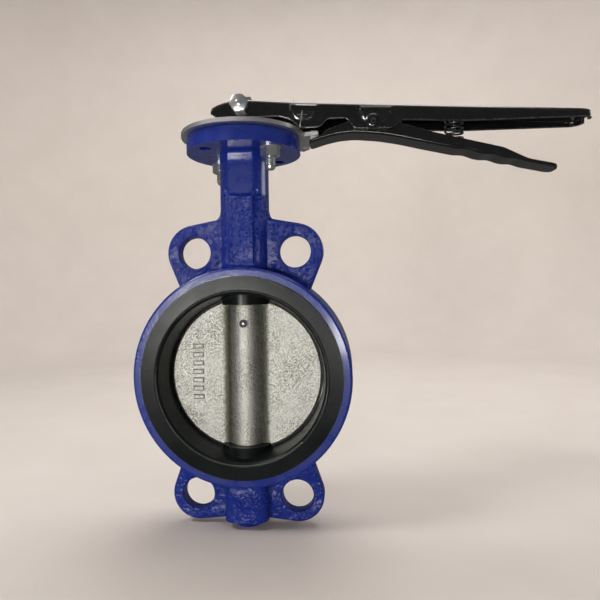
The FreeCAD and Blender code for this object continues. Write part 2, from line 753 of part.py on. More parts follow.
def notch_plate():
    """The zinc-plated plate: a round washer with a notched quarter sector."""
    body = new_body("plate_blank")
    round_sketch = sketch_on(body, "plate_round", "XY_Plane")
    circle(round_sketch, "0", "0", "dims.plate_radius")
    pad(body, "plate_pad", round_sketch, "dims.plate_thick", False)
    sector_sketch = sketch_on(body, "plate_sector", "XY_Plane")
    draw_sector(sector_sketch)
    pad(body, "sector_pad", sector_sketch, "dims.plate_thick", False)
    hole_sketch = sketch_on(body, "plate_holes", "XY_Plane")
    circle(hole_sketch, "0", "0", "dims.plate_hole")
    for sign in ("1", "-1"):
        circle(hole_sketch, f"{sign} * {FLANGE_X}", f"-{sign} * {FLANGE_X}", "dims.bolt_clear")
    pocket(body, "plate_holes_cut", hole_sketch, "4 * dims.plate_thick")
    notch_sketch = sketch_on(body, "plate_notch", "XY_Plane")
    outline(notch_sketch, [
        ("dims.notch_floor", "-dims.notch_width / 2"),
        ("dims.sector_radius + 5", "-dims.notch_width / 2"),
        ("dims.sector_radius + 5", "dims.notch_width / 2"),
        ("dims.notch_floor", "dims.notch_width / 2"),
    ])
    notch = pocket(body, "plate_notch_cut", notch_sketch, "4 * dims.plate_thick")
    pattern = body.newObject("PartDesign::PolarPattern", "plate_notches")
    pattern.Originals = [notch]
    axis = next(item for item in body.Origin.OriginFeatures if item.Role == "Z_Axis")
    pattern.Axis = (axis, [""])
    bind(pattern, {"Angle": f"{NOTCH_COUNT - 1} * dims.notch_pitch"})
    pattern.Occurrences = NOTCH_COUNT
    body.Tip = pattern
    place(body, z="dims.flange_top")
    countersinks = [
        cone(f"countersink_{name}", "dims.bolt_radius + 0.5", "dims.screw_head + dims.screw_fit",
             "dims.plate_thick", f"{sign} * {FLANGE_X}", f"-{sign} * {FLANGE_X}", "dims.flange_top")
        for name, sign in (("front", "1"), ("back", "-1"))
    ]
    return cut("notch_plate", body, countersinks)


def draw_sector(sketch):
    """A quarter sector from the stem axis out to the notched rim, closed by an arc."""
    low = "-dims.sector_margin"
    high = "90 + dims.sector_margin"
    start = polar("dims.sector_radius", low)
    end = polar("dims.sector_radius", high)
    centre = FreeCAD.Vector(0, 0, 0)
    first = FreeCAD.Vector(size(start[0]), size(start[1]), 0)
    last = FreeCAD.Vector(size(end[0]), size(end[1]), 0)
    rim = Part.Circle(centre, Z_AXIS, size("dims.sector_radius"))
    span = (math.radians(size(low)), math.radians(size(high)))
    sketch.addGeometry(Part.LineSegment(centre, first), False)
    sketch.addGeometry(Part.ArcOfCircle(rim, span[0], span[1]), False)
    sketch.addGeometry(Part.LineSegment(last, centre), False)
    sketch.addConstraint(Sketcher.Constraint("Coincident", 0, 2, 1, 1))
    sketch.addConstraint(Sketcher.Constraint("Coincident", 1, 2, 2, 1))
    sketch.addConstraint(Sketcher.Constraint("Coincident", 2, 2, 0, 1))
    sketch.addConstraint(Sketcher.Constraint("Coincident", 1, 3, -1, 1))
    sketch.addConstraint(Sketcher.Constraint("Coincident", 0, 1, -1, 1))
    pin_point(sketch, 0, 2, start[0], start[1])
    pin_coordinate(sketch, 2, 1, "DistanceX", end[0])


# ---------------------------------------------------------------- fasteners

def hex_bolt(name, length, x="0", y="0", z="0", turn=UPRIGHT):
    """A hexagon-head bolt: the head starts at the point, the shank runs on past it."""
    head = hexagon(f"{name}_head", "dims.hex_flats", "dims.head_high")
    shank = cylinder(f"{name}_shank", "dims.bolt_radius", length, z="dims.head_high")
    bevel = cone(f"{name}_crown", "dims.hex_flats / 2 * 0.93", "dims.hex_flats / 2 * 1.6",
                 "dims.head_high")
    crowned = common(f"{name}_crowned", [head, bevel])
    return place(fuse(name, [crowned, shank]), x, y, z, turn)


def hex_nut(name, x="0", y="0", z="0", turn=UPRIGHT):
    """A hexagon nut with its hole at the bolt's own size."""
    solid = hexagon(f"{name}_solid", "dims.hex_flats", "dims.nut_high")
    hole = cylinder(f"{name}_hole", "dims.bolt_radius", "dims.nut_high + 2", z="-1")
    return place(cut(name, solid, [hole]), x, y, z, turn)


def washer(name, radius, thick, x="0", y="0", z="0", turn=UPRIGHT):
    """A flat washer with its hole at the bolt's own size."""
    solid = cylinder(f"{name}_solid", radius, thick)
    hole = cylinder(f"{name}_hole", "dims.bolt_radius", f"{thick} + 2", z="-1")
    return place(cut(name, solid, [hole]), x, y, z, turn)


def countersunk_bolt(name, x, y):
    """A bolt whose flat head lies flush in the notch plate."""
    head = cone(f"{name}_head", "dims.bolt_radius + 0.4", "dims.screw_head", "dims.plate_thick", x, y,
                "dims.flange_top")
    shank = cylinder(f"{name}_shank", "dims.bolt_radius", "dims.plate_bolt_length", x, y,
                     f"{PLATE_TOP} - dims.plate_bolt_length")
    return fuse(name, [head, shank])


def plate_fasteners():
    """The two flush bolts that hold the notch plate on the flange, each with its washer and nut."""
    for name, sign in (("front", "1"), ("back", "-1")):
        x = f"{sign} * {FLANGE_X}"
        y = f"-{sign} * {FLANGE_X}"
        node(countersunk_bolt(f"plate_bolt_{name}", x, y), f"plate_bolt_{name}")
        node(washer(f"flange_washer_{name}", "dims.washer_radius", "dims.washer_thick", x, y,
                    "dims.flange_low - dims.washer_thick"), f"flange_washer_{name}")
        node(hex_nut(f"plate_nut_{name}", x, y,
                     "dims.flange_low - dims.washer_thick - dims.nut_high"), f"plate_nut_{name}")


def lever_fasteners():
    """The cross bolt that holds the lever on the stem, with its spring washer and nut."""
    height = "dims.lever_bolt_high"
    bolt = hex_bolt("lever_bolt", "dims.lever_bolt_length",
                    y="-dims.arm_half - dims.head_high", z=height, turn=ALONG_Y)
    node(bolt, "lever_bolt")
    node(washer("lever_spring_washer", "dims.spring_washer_radius", "dims.spring_washer_thick",
                y="dims.arm_half", z=height, turn=ALONG_Y), "lever_spring_washer")
    node(hex_nut("lever_nut", y="dims.arm_half + dims.spring_washer_thick", z=height, turn=ALONG_Y),
         "lever_nut")


# ---------------------------------------------------------------- lever arm

ARM_TOP = [
    ("-23.5", "209.6"),
    ("-17", "212.6"),
    ("-8", "214.4"),
    ("6", "214.4"),
    ("46", "210.6"),
    ("dims.arm_end", "196.3"),
]
ARM_LOW = [
    ("dims.arm_end", "190.4"),
    ("166", "190.8"),
    ("124", "193.4"),
    ("116", "187.6"),
    ("88", "188.2"),
    ("82", "196.3"),
    ("67", "196.5"),
    ("62", "190.6"),
    ("46.5", "190.6"),
    ("39", "197.2"),
    ("30", "200"),
    ("-17", "200.4"),
    ("-23.5", "203.7"),
]


def cross_hole(name, radius, x, z):
    """The tool for a hole across the whole width of the lever."""
    return cylinder(name, radius, "4 * dims.arm_half", x, "-2 * dims.arm_half", z, ALONG_Y)


def lever_arm():
    """The pressed channel lever, open underneath, with its dimples and holes."""
    body = new_body("arm_channel")
    outer = sketch_on(body, "arm_side", "XZ_Plane")
    outline(outer, ARM_TOP + ARM_LOW)
    pad(body, "arm_pad", outer, "2 * dims.arm_half")
    body_fillet(body, "arm_tip", "dims.arm_tip_round",
                lambda edge: is_upright(edge) and edge.BoundBox.XMin > 200)
    body_fillet(body, "arm_corners", "dims.arm_corner",
                lambda edge: is_crosswise(edge) and edge.BoundBox.XMin < -15 and edge.BoundBox.ZMin > 205)
    body_fillet(body, "arm_bends", "dims.arm_bend", is_arm_top_side)
    inner = sketch_on(body, "arm_inside", "XZ_Plane")
    (near_x, near_z), (far_x, far_z) = ARM_TOP[0], ARM_TOP[-1]
    under_top = [(x, f"{z} - dims.arm_sheet") for x, z in ARM_TOP[1:-1]]
    start = [(f"{near_x} - 5", f"{near_z} - dims.arm_sheet")]
    finish = [(f"{far_x} + 5", f"{far_z} - dims.arm_sheet - 0.3"), (f"{far_x} + 5", CHANNEL_FOOT),
              (f"{near_x} - 5", CHANNEL_FOOT)]
    outline(inner, start + under_top + finish)
    pocket(body, "arm_hollow", inner, f"2 * ({ARM_INNER})")
    dimples = [dimple_pair("front_dimple", "38.8", "59.6", "208.4", "196.5"),
               dimple_pair("pivot_dimple", "91.5", "115.5", "204.4", "192.0")]
    holes = [
        cross_hole("arm_bolt_hole", "dims.bolt_radius + 0.3", "0", "dims.lever_bolt_high"),
        cross_hole("arm_front_pin_hole", "dims.front_pin_radius", "dims.front_pin_x", "dims.front_pin_z"),
        cross_hole("arm_pivot_hole", "dims.pivot_radius", "dims.pivot_x", "dims.pivot_z"),
        block("arm_stem_hole", "dims.stem_square + 0.4", "dims.stem_square + 0.4", "20",
              "-dims.stem_square / 2 - 0.2", "-dims.stem_square / 2 - 0.2", "205"),
        stud_shank("arm_stud_hole"),
    ]
    return cut("lever_arm", fuse("arm_with_dimples", [body] + dimples), holes)


def is_arm_top_side(edge):
    """True for the long top edges of the arm's blank, on both sides."""
    box = edge.BoundBox
    on_side = box.YLength < 0.01 and abs(abs(box.Center.y) - size("dims.arm_half")) < 0.01
    middle = edge.valueAt((edge.FirstParameter + edge.LastParameter) / 2)
    (left_x, left_z), (right_x, right_z) = [(size(x), size(z)) for x, z in ARM_TOP[-2:]]
    slope = (right_z - left_z) / (right_x - left_x)
    roof = left_z + slope * (middle.x - left_x)
    return on_side and box.XLength > 1.0 and middle.z > max(roof - ROOF_BAND, size(ARM_TOP[-1][1]) - 0.3)


def dimple_pair(name, left, right, top, low):
    """A pair of raised D-shaped pads, one for each wall of the arm."""
    body = new_body(name)
    sketch = sketch_on(body, f"{name}_outline", "XZ_Plane")
    outline(sketch, [(left, f"{top} - 1.6"), (f"{left} + 2.4", top), (f"{right} - 2.4", f"{top} - 1.2"),
                     (right, f"{top} - 3.2"), (f"{right} - 4.5", low), (f"{left} + 4.5", low)])
    pad(body, f"{name}_pad", sketch, "2 * (dims.arm_half + dims.dimple_proud)")
    core = block(f"{name}_core", "60", "2 * dims.arm_half - 2", "40", f"{left} - 10",
                 "-dims.arm_half + 1", f"{low} - 10")
    return cut(f"{name}_pair", body, [core])


def lever_socket():
    """The square-holed block that carries the lever on the stem."""
    solid = block("socket_block", "2 * dims.socket_half", f"2 * ({ARM_INNER})",
                  "dims.socket_high - dims.socket_low", "-dims.socket_half", f"-({ARM_INNER})",
                  "dims.socket_low")
    hole = block("socket_hole", "dims.stem_square", "dims.stem_square", "30", "-dims.stem_square / 2",
                 "-dims.stem_square / 2", "185")
    return cut("lever_socket", solid, [hole])


def headed_pin(name, radius, head_radius, head_high, x, z):
    """A rivet through both walls of the arm, with a low cone for each head."""
    half = "(dims.arm_half + dims.dimple_proud)"
    pieces = [cylinder(f"{name}_shank", radius, f"2 * {half}", x, f"-{half}", z, ALONG_Y)]
    pieces.append(cone(f"{name}_back_head", head_radius, f"{head_radius} * 0.62", head_high, x,
                       half, z, ALONG_Y))
    pieces.append(cone(f"{name}_front_head", head_radius, f"{head_radius} * 0.62", head_high, x,
                       f"-{half}", z, FreeCAD.Rotation(X_AXIS, 90)))
    return fuse(name, pieces)


# ---------------------------------------------------------------- trigger and spring

TRIGGER_TOP = [
    ("62.5", "185.3"),
    ("66", "189"),
    ("92", "197.5"),
    ("108", "198"),
    ("124", "191.5"),
    ("146", "184.4"),
    ("198", "170.9"),
    ("216", "161.4"),
    ("dims.trigger_end", "156.6"),
]
TRIGGER_LOW = [
    ("dims.trigger_end", "154.6"),
    ("214", "160"),
    ("188", "165.6"),
    ("160", "172.0"),
    ("140", "176.7"),
    ("122", "181.2"),
    ("106", "184.2"),
    ("88", "186"),
    ("76", "185.4"),
    ("66", "183.4"),
    ("53", "179.6"),
    ("53", "dims.trigger_front_floor"),
]


def trigger():
    """The squeezed lower lever: a narrow channel, open on top, with raised side walls."""
    body = new_body("trigger_channel")
    outer = sketch_on(body, "trigger_side", "XZ_Plane")
    outline(outer, TRIGGER_TOP + TRIGGER_LOW)
    pad(body, "trigger_pad", outer, "2 * dims.trigger_half")
    body_fillet(body, "trigger_tip", "dims.trigger_tip_round",
                lambda edge: is_upright(edge, 0.2) and edge.BoundBox.XMin > 230)
    body_fillet(body, "trigger_bends", "dims.trigger_bend", is_trigger_low_side)
    inner = sketch_on(body, "trigger_inside", "XZ_Plane")
    floor = [(x, f"{z} + dims.trigger_sheet") for x, z in reversed(TRIGGER_LOW[1:-2])]
    start = [("40", "dims.trigger_front_floor"), ("53", "dims.trigger_front_floor")]
    finish = [("dims.trigger_end + 4", "154.6 + dims.trigger_sheet - 0.3"),
              ("dims.trigger_end + 4", "210"), ("40", "210")]
    outline(inner, start + floor + finish)
    pocket(body, "trigger_hollow", inner, "2 * (dims.trigger_half - dims.trigger_sheet)")
    hole = cross_hole("trigger_pivot_hole", "dims.pivot_radius + dims.pivot_fit",
                      "dims.pivot_x", "dims.pivot_z")
    return cut("trigger", body, [hole])


def is_trigger_low_side(edge):
    """True for the long lower edges of the trigger's blank, on both sides."""
    box = edge.BoundBox
    on_side = box.YLength < 0.01 and abs(abs(box.Center.y) - size("dims.trigger_half")) < 0.01
    low_points = [(size(x), size(z)) for x, z in TRIGGER_LOW[:-1]]
    middle = edge.valueAt((edge.FirstParameter + edge.LastParameter) / 2)
    for (far_x, far_z), (near_x, near_z) in zip(low_points, low_points[1:]):
        if near_x <= middle.x <= far_x and far_x - near_x > 1:
            height = near_z + (far_z - near_z) * (middle.x - near_x) / (far_x - near_x)
            return on_side and abs(middle.z - height) < 0.05
    return False


def locking_tooth(lever):
    """The hardened tooth that stands up from the floor of the trigger's front end into a notch."""
    blank = block("tooth_blank", "dims.tooth_far - dims.tooth_near", "dims.tooth_width",
                  "dims.tooth_top - dims.tooth_root", "dims.tooth_near", "-dims.tooth_width / 2",
                  "dims.tooth_root")
    return cut("locking_tooth", blank, [lever])


def trigger_spring():
    """The compression spring between the lever and the trigger."""
    helix = doc.addObject("Part::Helix", "spring_helix")
    rise = "dims.spring_high - dims.spring_low - 2 * dims.spring_wire"
    bind(helix, {"Radius": "dims.spring_radius", "Height": rise, "Pitch": f"({rise}) / dims.spring_turns"})
    place(helix, "dims.spring_x", "0", "dims.spring_low + dims.spring_wire")
    wire = doc.addObject("Part::Circle", "spring_wire_section")
    bind(wire, {"Radius": "dims.spring_wire"})
    place(wire, "dims.spring_x + dims.spring_radius", "0", "dims.spring_low + dims.spring_wire",
          FreeCAD.Rotation(X_AXIS, 90))
    sweep = doc.addObject("Part::Sweep", "trigger_spring")
    sweep.Sections = [wire]
    sweep.Spine = (helix, [])
    sweep.Solid = True
    sweep.Frenet = True
    return sweep


def spring_stud():
    """The stud riveted through the lever's roof, which centres the spring."""
    boss = cylinder("stud_boss", "dims.stud_radius", "dims.stud_high - dims.stud_low",
                    "dims.spring_x", "0", "dims.stud_low")
    return fuse("spring_stud", [boss, stud_shank("stud_shank")])


def stud_shank(name):
    """The stud's shank, used for the stud and for its hole in the lever."""
    return cylinder(name, "dims.stud_shank", "4", "dims.spring_x", "0", "dims.stud_high - 1")


# ---------------------------------------------------------------- assembly

def build():
    """Make every sub-part and register it under its own name."""
    node(valve_body(), "valve_body")
    node(seat_liner(), "seat_liner")
    fit = "dims.stem_radius + dims.running_fit"
    node(sleeve("top_bush", "dims.bush_radius", fit, "dims.bush_length", "dims.top_bush_low"), "top_bush")
    inner_low = "dims.inner_bush_far - dims.bush_length"
    node(sleeve("neck_bush", "dims.bush_radius", fit, "dims.bush_length", inner_low), "neck_bush")
    node(sleeve("foot_bush", "dims.bush_radius", fit, "dims.bush_length", "-dims.inner_bush_far"), "foot_bush")
    node(o_ring("stem_o_ring_low", "dims.seal_one"), "stem_o_ring_low")
    node(o_ring("stem_o_ring_high", "dims.seal_two"), "stem_o_ring_high")
    node(retaining_clip(), "retaining_clip")
    node(notch_plate(), "notch_plate")
    plate_fasteners()
    node(disc(), "disc")
    node(pin_cone("disc_pin"), "disc_pin")
    node(upper_stem(), "upper_stem")
    node(cylinder("lower_stem", "dims.stem_radius", "dims.stem_foot - dims.stem_gap", z="-dims.stem_foot"),
         "lower_stem")
    node(lever_arm(), "lever_arm")
    node(lever_socket(), "lever_socket")
    lever_fasteners()
    node(headed_pin("front_pin", "dims.front_pin_radius", "dims.front_pin_radius + 0.8", "0.8",
                    "dims.front_pin_x", "dims.front_pin_z"), "front_pin")
    node(headed_pin("pivot_rivet", "dims.pivot_radius", "dims.pivot_head", "dims.pivot_head_high",
                    "dims.pivot_x", "dims.pivot_z"), "pivot_rivet")
    squeezed = trigger()
    node(squeezed, "trigger")
    node(locking_tooth(squeezed), "locking_tooth")
    node(trigger_spring(), "trigger_spring")
    node(spring_stud(), "spring_stud")


def check():
    """Stop if any object failed or any sub-part has no sound solid."""
    for item in doc.Objects:
        if {"Invalid", "Error"} & set(item.State):
            raise RuntimeError(f"{item.Name} failed: {item.State}")
    for item in nodes:
        if item.Shape.isNull() or not item.Shape.isValid() or not item.Shape.Solids:
            raise RuntimeError(f"{item.Label} has no sound solid")


def export():
    """Write each sub-part to its own STEP file."""
    os.makedirs("parts", exist_ok=True)
    for item in nodes:
        item.Shape.exportStep(f"parts/{item.Label}.step")
        print(item.Label, len(item.Shape.Solids), round(item.Shape.Volume))


build()
doc.recompute()
check()
export()
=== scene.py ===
"""Looks of a wafer butterfly valve with a notched squeeze lever.

The casting, the rubber seat, the disc, the stems and the bushes keep their engineering shapes and get
their finishes here. The lever, the trigger, the return spring, the rivets and the fasteners are modelled
again with their pressed, wound, headed and rolled detail. Lengths of the new pieces are in millimetres
until a piece is finished, and in metres from then on.
"""

from __future__ import annotations

import logging
import math
from dataclasses import dataclass, field
from enum import Enum
from functools import cache
from typing import Callable, Iterable, Sequence, Union

import bmesh
import bpy
from mathutils import Matrix, Vector

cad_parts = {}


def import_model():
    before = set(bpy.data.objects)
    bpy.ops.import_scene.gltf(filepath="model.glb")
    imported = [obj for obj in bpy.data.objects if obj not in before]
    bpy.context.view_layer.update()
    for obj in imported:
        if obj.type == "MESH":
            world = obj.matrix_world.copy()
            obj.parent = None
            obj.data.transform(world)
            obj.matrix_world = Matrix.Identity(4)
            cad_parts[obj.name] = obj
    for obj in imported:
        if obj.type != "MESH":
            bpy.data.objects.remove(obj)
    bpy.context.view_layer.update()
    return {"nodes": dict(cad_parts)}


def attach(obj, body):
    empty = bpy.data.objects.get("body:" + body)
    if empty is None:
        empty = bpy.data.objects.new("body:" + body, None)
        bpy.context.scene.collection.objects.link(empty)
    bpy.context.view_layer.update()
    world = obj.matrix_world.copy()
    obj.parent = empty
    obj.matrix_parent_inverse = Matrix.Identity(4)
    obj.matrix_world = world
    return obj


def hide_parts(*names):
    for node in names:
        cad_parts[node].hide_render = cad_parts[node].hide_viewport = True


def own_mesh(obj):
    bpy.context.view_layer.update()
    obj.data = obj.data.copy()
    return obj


LOG = logging.getLogger("valve")
METRES = 0.001
WELD = 0.0005
FULL_TURN = 2 * math.pi

Socket = bpy.types.NodeSocket
Value = Union[Socket, float, Sequence[float]]
Outline = Sequence[tuple[float, float]]
Triple = tuple[float, float, float]
Colour = tuple[float, float, float, float]


class Body(Enum):
    """The rigid bodies that pieces ride on."""

    VALVE = "root"
    ROTOR = "rotor"
    TRIGGER = "trigger"


class Slot(Enum):
    """The material slots that the record names."""

    EPOXY = "blue_epoxy"
    RUBBER = "black_epdm"
    SEAL = "seal_rubber"
    BUSH = "bush_polymer"
    NICKEL = "nickel_plate"
    STAINLESS = "stainless"
    ZINC_SHEET = "zinc_plate"
    ZINC_FASTENER = "zinc_fastener"
    COAT = "black_ecoat"
    SPRING = "spring_steel"
    TOOTH = "tooth_steel"


# ---------------------------------------------------------------- wiring shader nodes


class Desk:
    """A node tree with short calls for adding and joining its nodes."""

    def __init__(self, tree: bpy.types.NodeTree) -> None:
        """Keep the tree that the nodes go into."""
        self.tree = tree

    def put(self, kind: str, inputs: dict | None = None, out: int | str = 0, **settings) -> Socket | None:
        """Add a node and return one of its outputs.

        Args:
            kind: The node's type name.
            inputs: Values or sockets for the node's inputs, by name or number.
            out: The output to return.
            **settings: Properties set on the node itself.

        Returns:
            The chosen output socket, or nothing where the node has none.
        """
        node = self.tree.nodes.new(kind)
        for name, setting in settings.items():
            setattr(node, name, setting)
        for key, value in (inputs or {}).items():
            if isinstance(value, Socket):
                self.tree.links.new(value, node.inputs[key])
            else:
                node.inputs[key].default_value = value
        return node.outputs[out] if node.outputs else None

    def math(self, operation: str, *values: Value, clamp: bool = False) -> Socket:
        """Do one sum on one to three values."""
        return self.put("ShaderNodeMath", dict(enumerate(values)), operation=operation, use_clamp=clamp)

    def noise(self, where: Value, scale: Value, detail: float = 3.0, rough: float = 0.5) -> Socket:
        """Cloudy noise from 0 to 1 at a place."""
        inputs = {"Vector": where, "Scale": scale, "Detail": detail, "Roughness": rough}
        return self.put("ShaderNodeTexNoise", inputs)

    def span(self, value: Value, low: float, high: float, to_low: float = 0.0, to_high: float = 1.0) -> Socket:
        """Map a value smoothly from low and high to to_low and to_high."""
        inputs = {"Value": value, "From Min": low, "From Max": high, "To Min": to_low, "To Max": to_high}
        return self.put("ShaderNodeMapRange", inputs, interpolation_type="SMOOTHSTEP")

    def tint(self, factor: Value, first: Value, second: Value) -> Socket:
        """Mix two colours."""
        return self.put("ShaderNodeMix", {0: factor, 6: first, 7: second}, out=2, data_type="RGBA")

    def place(self, turn: Triple = (0, 0, 0), stretch: Triple = (1, 1, 1)) -> Socket:
        """Object coordinates, turned and stretched."""
        raw = self.put("ShaderNodeTexCoord", out="Object")
        return self.put("ShaderNodeMapping", {"Vector": raw, "Rotation": turn, "Scale": stretch})

    def split(self, where: Value) -> list[Socket]:
        """The three coordinates of a place."""
        node = self.put("ShaderNodeSeparateXYZ", {"Vector": where}).node
        return list(node.outputs)

    def bump(self, height: Value, distance: float, strength: float = 1.0) -> Socket:
        """A normal bent by a height."""
        return self.put("ShaderNodeBump", {"Height": height, "Distance": distance, "Strength": strength})


class Effects:
    """Node groups that more than one finish uses, each built once."""

    @staticmethod
    def _open(name: str, output: str, **inputs: float) -> tuple[Desk, dict, Socket]:
        """Start a group with named inputs and one output.

        Args:
            name: The group's name.
            output: Its output.
            **inputs: Its inputs and their usual values.

        Returns:
            The desk, the inputs by name, and the output's socket.
        """
        tree = bpy.data.node_groups.new(name, "ShaderNodeTree")
        for label, usual in inputs.items():
            socket = tree.interface.new_socket(name=label, in_out="INPUT", socket_type="NodeSocketFloat")
            socket.default_value = usual
        tree.interface.new_socket(name=output, in_out="OUTPUT", socket_type="NodeSocketFloat")
        entry, result = tree.nodes.new("NodeGroupInput"), tree.nodes.new("NodeGroupOutput")
        return Desk(tree), {label: entry.outputs[label] for label in inputs}, result.inputs[output]

    @staticmethod
    @cache
    def cast_skin() -> bpy.types.NodeTree:
        """The skin that a sand mould leaves: soft swells, grains and a few pits.

        Returns:
            The group, with the inputs Grain, Swell and Pits and the output Height.
        """
        desk, given, result = Effects._open("cast_skin", "Height", Grain=900.0, Swell=0.5, Pits=0.4)
        where = desk.place()
        grains = desk.noise(where, given["Grain"], 4.0, 0.6)
        swells = desk.noise(where, desk.math("MULTIPLY", given["Grain"], 0.22), 2.0)
        fine = desk.math("MULTIPLY", given["Grain"], 0.6)
        cells = desk.put("ShaderNodeTexVoronoi", {"Vector": where, "Scale": fine}, out="Distance",
                         feature="SMOOTH_F1")
        pits = desk.math("MULTIPLY", desk.span(cells, 0.05, 0.45), given["Pits"])
        low = desk.math("MULTIPLY_ADD", swells, given["Swell"], pits)
        desk.tree.links.new(desk.math("ADD", grains, low), result)
        return desk.tree

    @staticmethod
    @cache
    def edge_wear() -> bpy.types.NodeTree:
        """A broken mask along the outside edges of a piece.

        Returns:
            The group, with the inputs Reach, Breakup and Amount and the output Mask.
        """
        desk, given, result = Effects._open("edge_wear", "Mask", Reach=0.0008, Breakup=300.0, Amount=1.0)
        soft = desk.put("ShaderNodeBevel", {"Radius": given["Reach"]}, samples=4)
        flat = desk.put("ShaderNodeNewGeometry", out="Normal")
        match = desk.put("ShaderNodeVectorMath", {0: soft, 1: flat}, out="Value", operation="DOT_PRODUCT")
        bend = desk.span(desk.math("SUBTRACT", 1.0, match), 0.01, 0.12)
        gaps = desk.span(desk.noise(desk.place(), given["Breakup"], 3.0), 0.35, 0.62)
        shown = desk.math("MULTIPLY", desk.math("MULTIPLY", bend, gaps), given["Amount"], clamp=True)
        desk.tree.links.new(shown, result)
        return desk.tree

    @staticmethod
    @cache
    def dust() -> bpy.types.NodeTree:
        """Dust that settles in patches, more of it on faces that look up.

        Returns:
            The group, with the inputs Amount and Patch and the output Mask.
        """
        desk, given, result = Effects._open("dust", "Mask", Amount=0.3, Patch=60.0)
        normal = desk.put("ShaderNodeNewGeometry", out="Normal")
        upward = desk.span(desk.split(normal)[2], -0.3, 1.0, 0.25, 1.0)
        patches = desk.span(desk.noise(desk.place(), given["Patch"], 5.0, 0.65), 0.38, 0.75)
        shown = desk.math("MULTIPLY", desk.math("MULTIPLY", patches, upward), given["Amount"], clamp=True)
        desk.tree.links.new(shown, result)
        return desk.tree

    @staticmethod
    @cache
    def brushing() -> bpy.types.NodeTree:
        """Fine streaks along X, as rolling and handling leave.

        Returns:
            The group, with the inputs Fineness and Amount and the output Height.
        """
        desk, given, result = Effects._open("brushing", "Height", Fineness=2500.0, Amount=1.0)
        streaks = desk.noise(desk.place((0, 0, 0.2), (0.06, 1, 1)), given["Fineness"], 3.0, 0.6)
        desk.tree.links.new(desk.math("MULTIPLY", streaks, given["Amount"]), result)
        return desk.tree


@dataclass(frozen=True)
class Finish:
    """What a surface is made of and how it was treated.

    Attributes:
        name: The material's name.
        slot: The record's slot for it. Not used.
    """

    name: str
    slot: Slot

    def wire(self, desk: Desk) -> dict[str, Value]:
        """The Principled shader's inputs, as values and sockets."""
        raise NotImplementedError

    def material(self) -> bpy.types.Material:
        """The material, built the first time it is asked for.

        Returns:
            The material.
        """
        found = bpy.data.materials.get(self.name)
        if found:
            return found
        made = bpy.data.materials.new(self.name)
        made.use_nodes = True
        desk = Desk(made.node_tree)
        made.node_tree.nodes.clear()
        shader = desk.put("ShaderNodeBsdfPrincipled", self.wire(desk))
        desk.put("ShaderNodeOutputMaterial", {"Surface": shader})
        return made

    @staticmethod
    def effect(desk: Desk, tree: bpy.types.NodeTree, **inputs: Value) -> Socket:
        """Place a shared effect with its own values and return its output."""
        return desk.put("ShaderNodeGroup", inputs, node_tree=tree)


@dataclass(frozen=True)
class EpoxyOnCasting(Finish):
    """Thick glossy paint over a sand casting, rougher where the mould was rough.

    Attributes:
        colour: The paint.
        shade: The paint where it is thin or dirty.
        ridge_high: The upper end of the rough strip on the neck, in metres.
        ring_reach: The radius of the smooth ring; the cast ears lie outside it.
    """

    colour: Colour = (0.0045, 0.022, 0.25, 1)
    shade: Colour = (0.003, 0.012, 0.13, 1)
    ridge_high: float = 0.139
    ring_reach: float = 0.0835

    def rough_zone(self, desk: Desk) -> Socket:
        """A mask of the parts of the casting that the mould left rough.

        Args:
            desk: The desk of the material.

        Returns:
            The mask's socket.
        """
        x, _, z = desk.split(desk.place())
        far = desk.math("SQRT", desk.math("ADD", desk.math("POWER", x, 2.0), desk.math("POWER", z, 2.0)))
        outside = desk.span(far, self.ring_reach, self.ring_reach + 0.004)
        below = desk.span(z, self.ridge_high, self.ridge_high + 0.003, 1.0, 0.0)
        patches = desk.span(desk.noise(desk.place(), 45.0, 3.0), 0.36, 0.6, 0.25, 1.0)
        return desk.math("MULTIPLY", desk.math("MULTIPLY", outside, below), patches)

    def wire(self, desk: Desk) -> dict[str, Value]:
        """The Principled shader's inputs, as values and sockets."""
        rough = self.rough_zone(desk)
        skin = self.effect(desk, Effects.cast_skin(), Grain=420.0, Swell=0.8, Pits=0.25)
        coarse = self.effect(desk, Effects.cast_skin(), Grain=640.0, Swell=1.2, Pits=1.0)
        fine = desk.math("MULTIPLY", skin, 0.16)
        height = desk.math("MULTIPLY_ADD", coarse, rough, fine)
        wear = self.effect(desk, Effects.edge_wear(), Reach=0.0007, Breakup=260.0, Amount=0.3)
        dirt_and_painted_shade = self.effect(desk, Effects.dust(), Amount=0.5, Patch=38.0)
        base = desk.tint(dirt_and_painted_shade, self.colour, self.shade)
        base = desk.tint(wear, base, (0.10, 0.16, 0.42, 1))
        satin = desk.span(desk.noise(desk.place(), 90.0, 3.0), 0.3, 0.7, 0.24, 0.38)
        return {
            "Base Color": base,
            "Roughness": desk.tint(rough, satin, (0.11, 0.11, 0.11, 1)),
            "Coat Weight": desk.span(rough, 0.0, 0.8, 0.75, 0.0),
            "Coat Roughness": 0.1,
            "IOR": 1.5,
            "Normal": desk.bump(height, 0.0009, 0.95),
        }


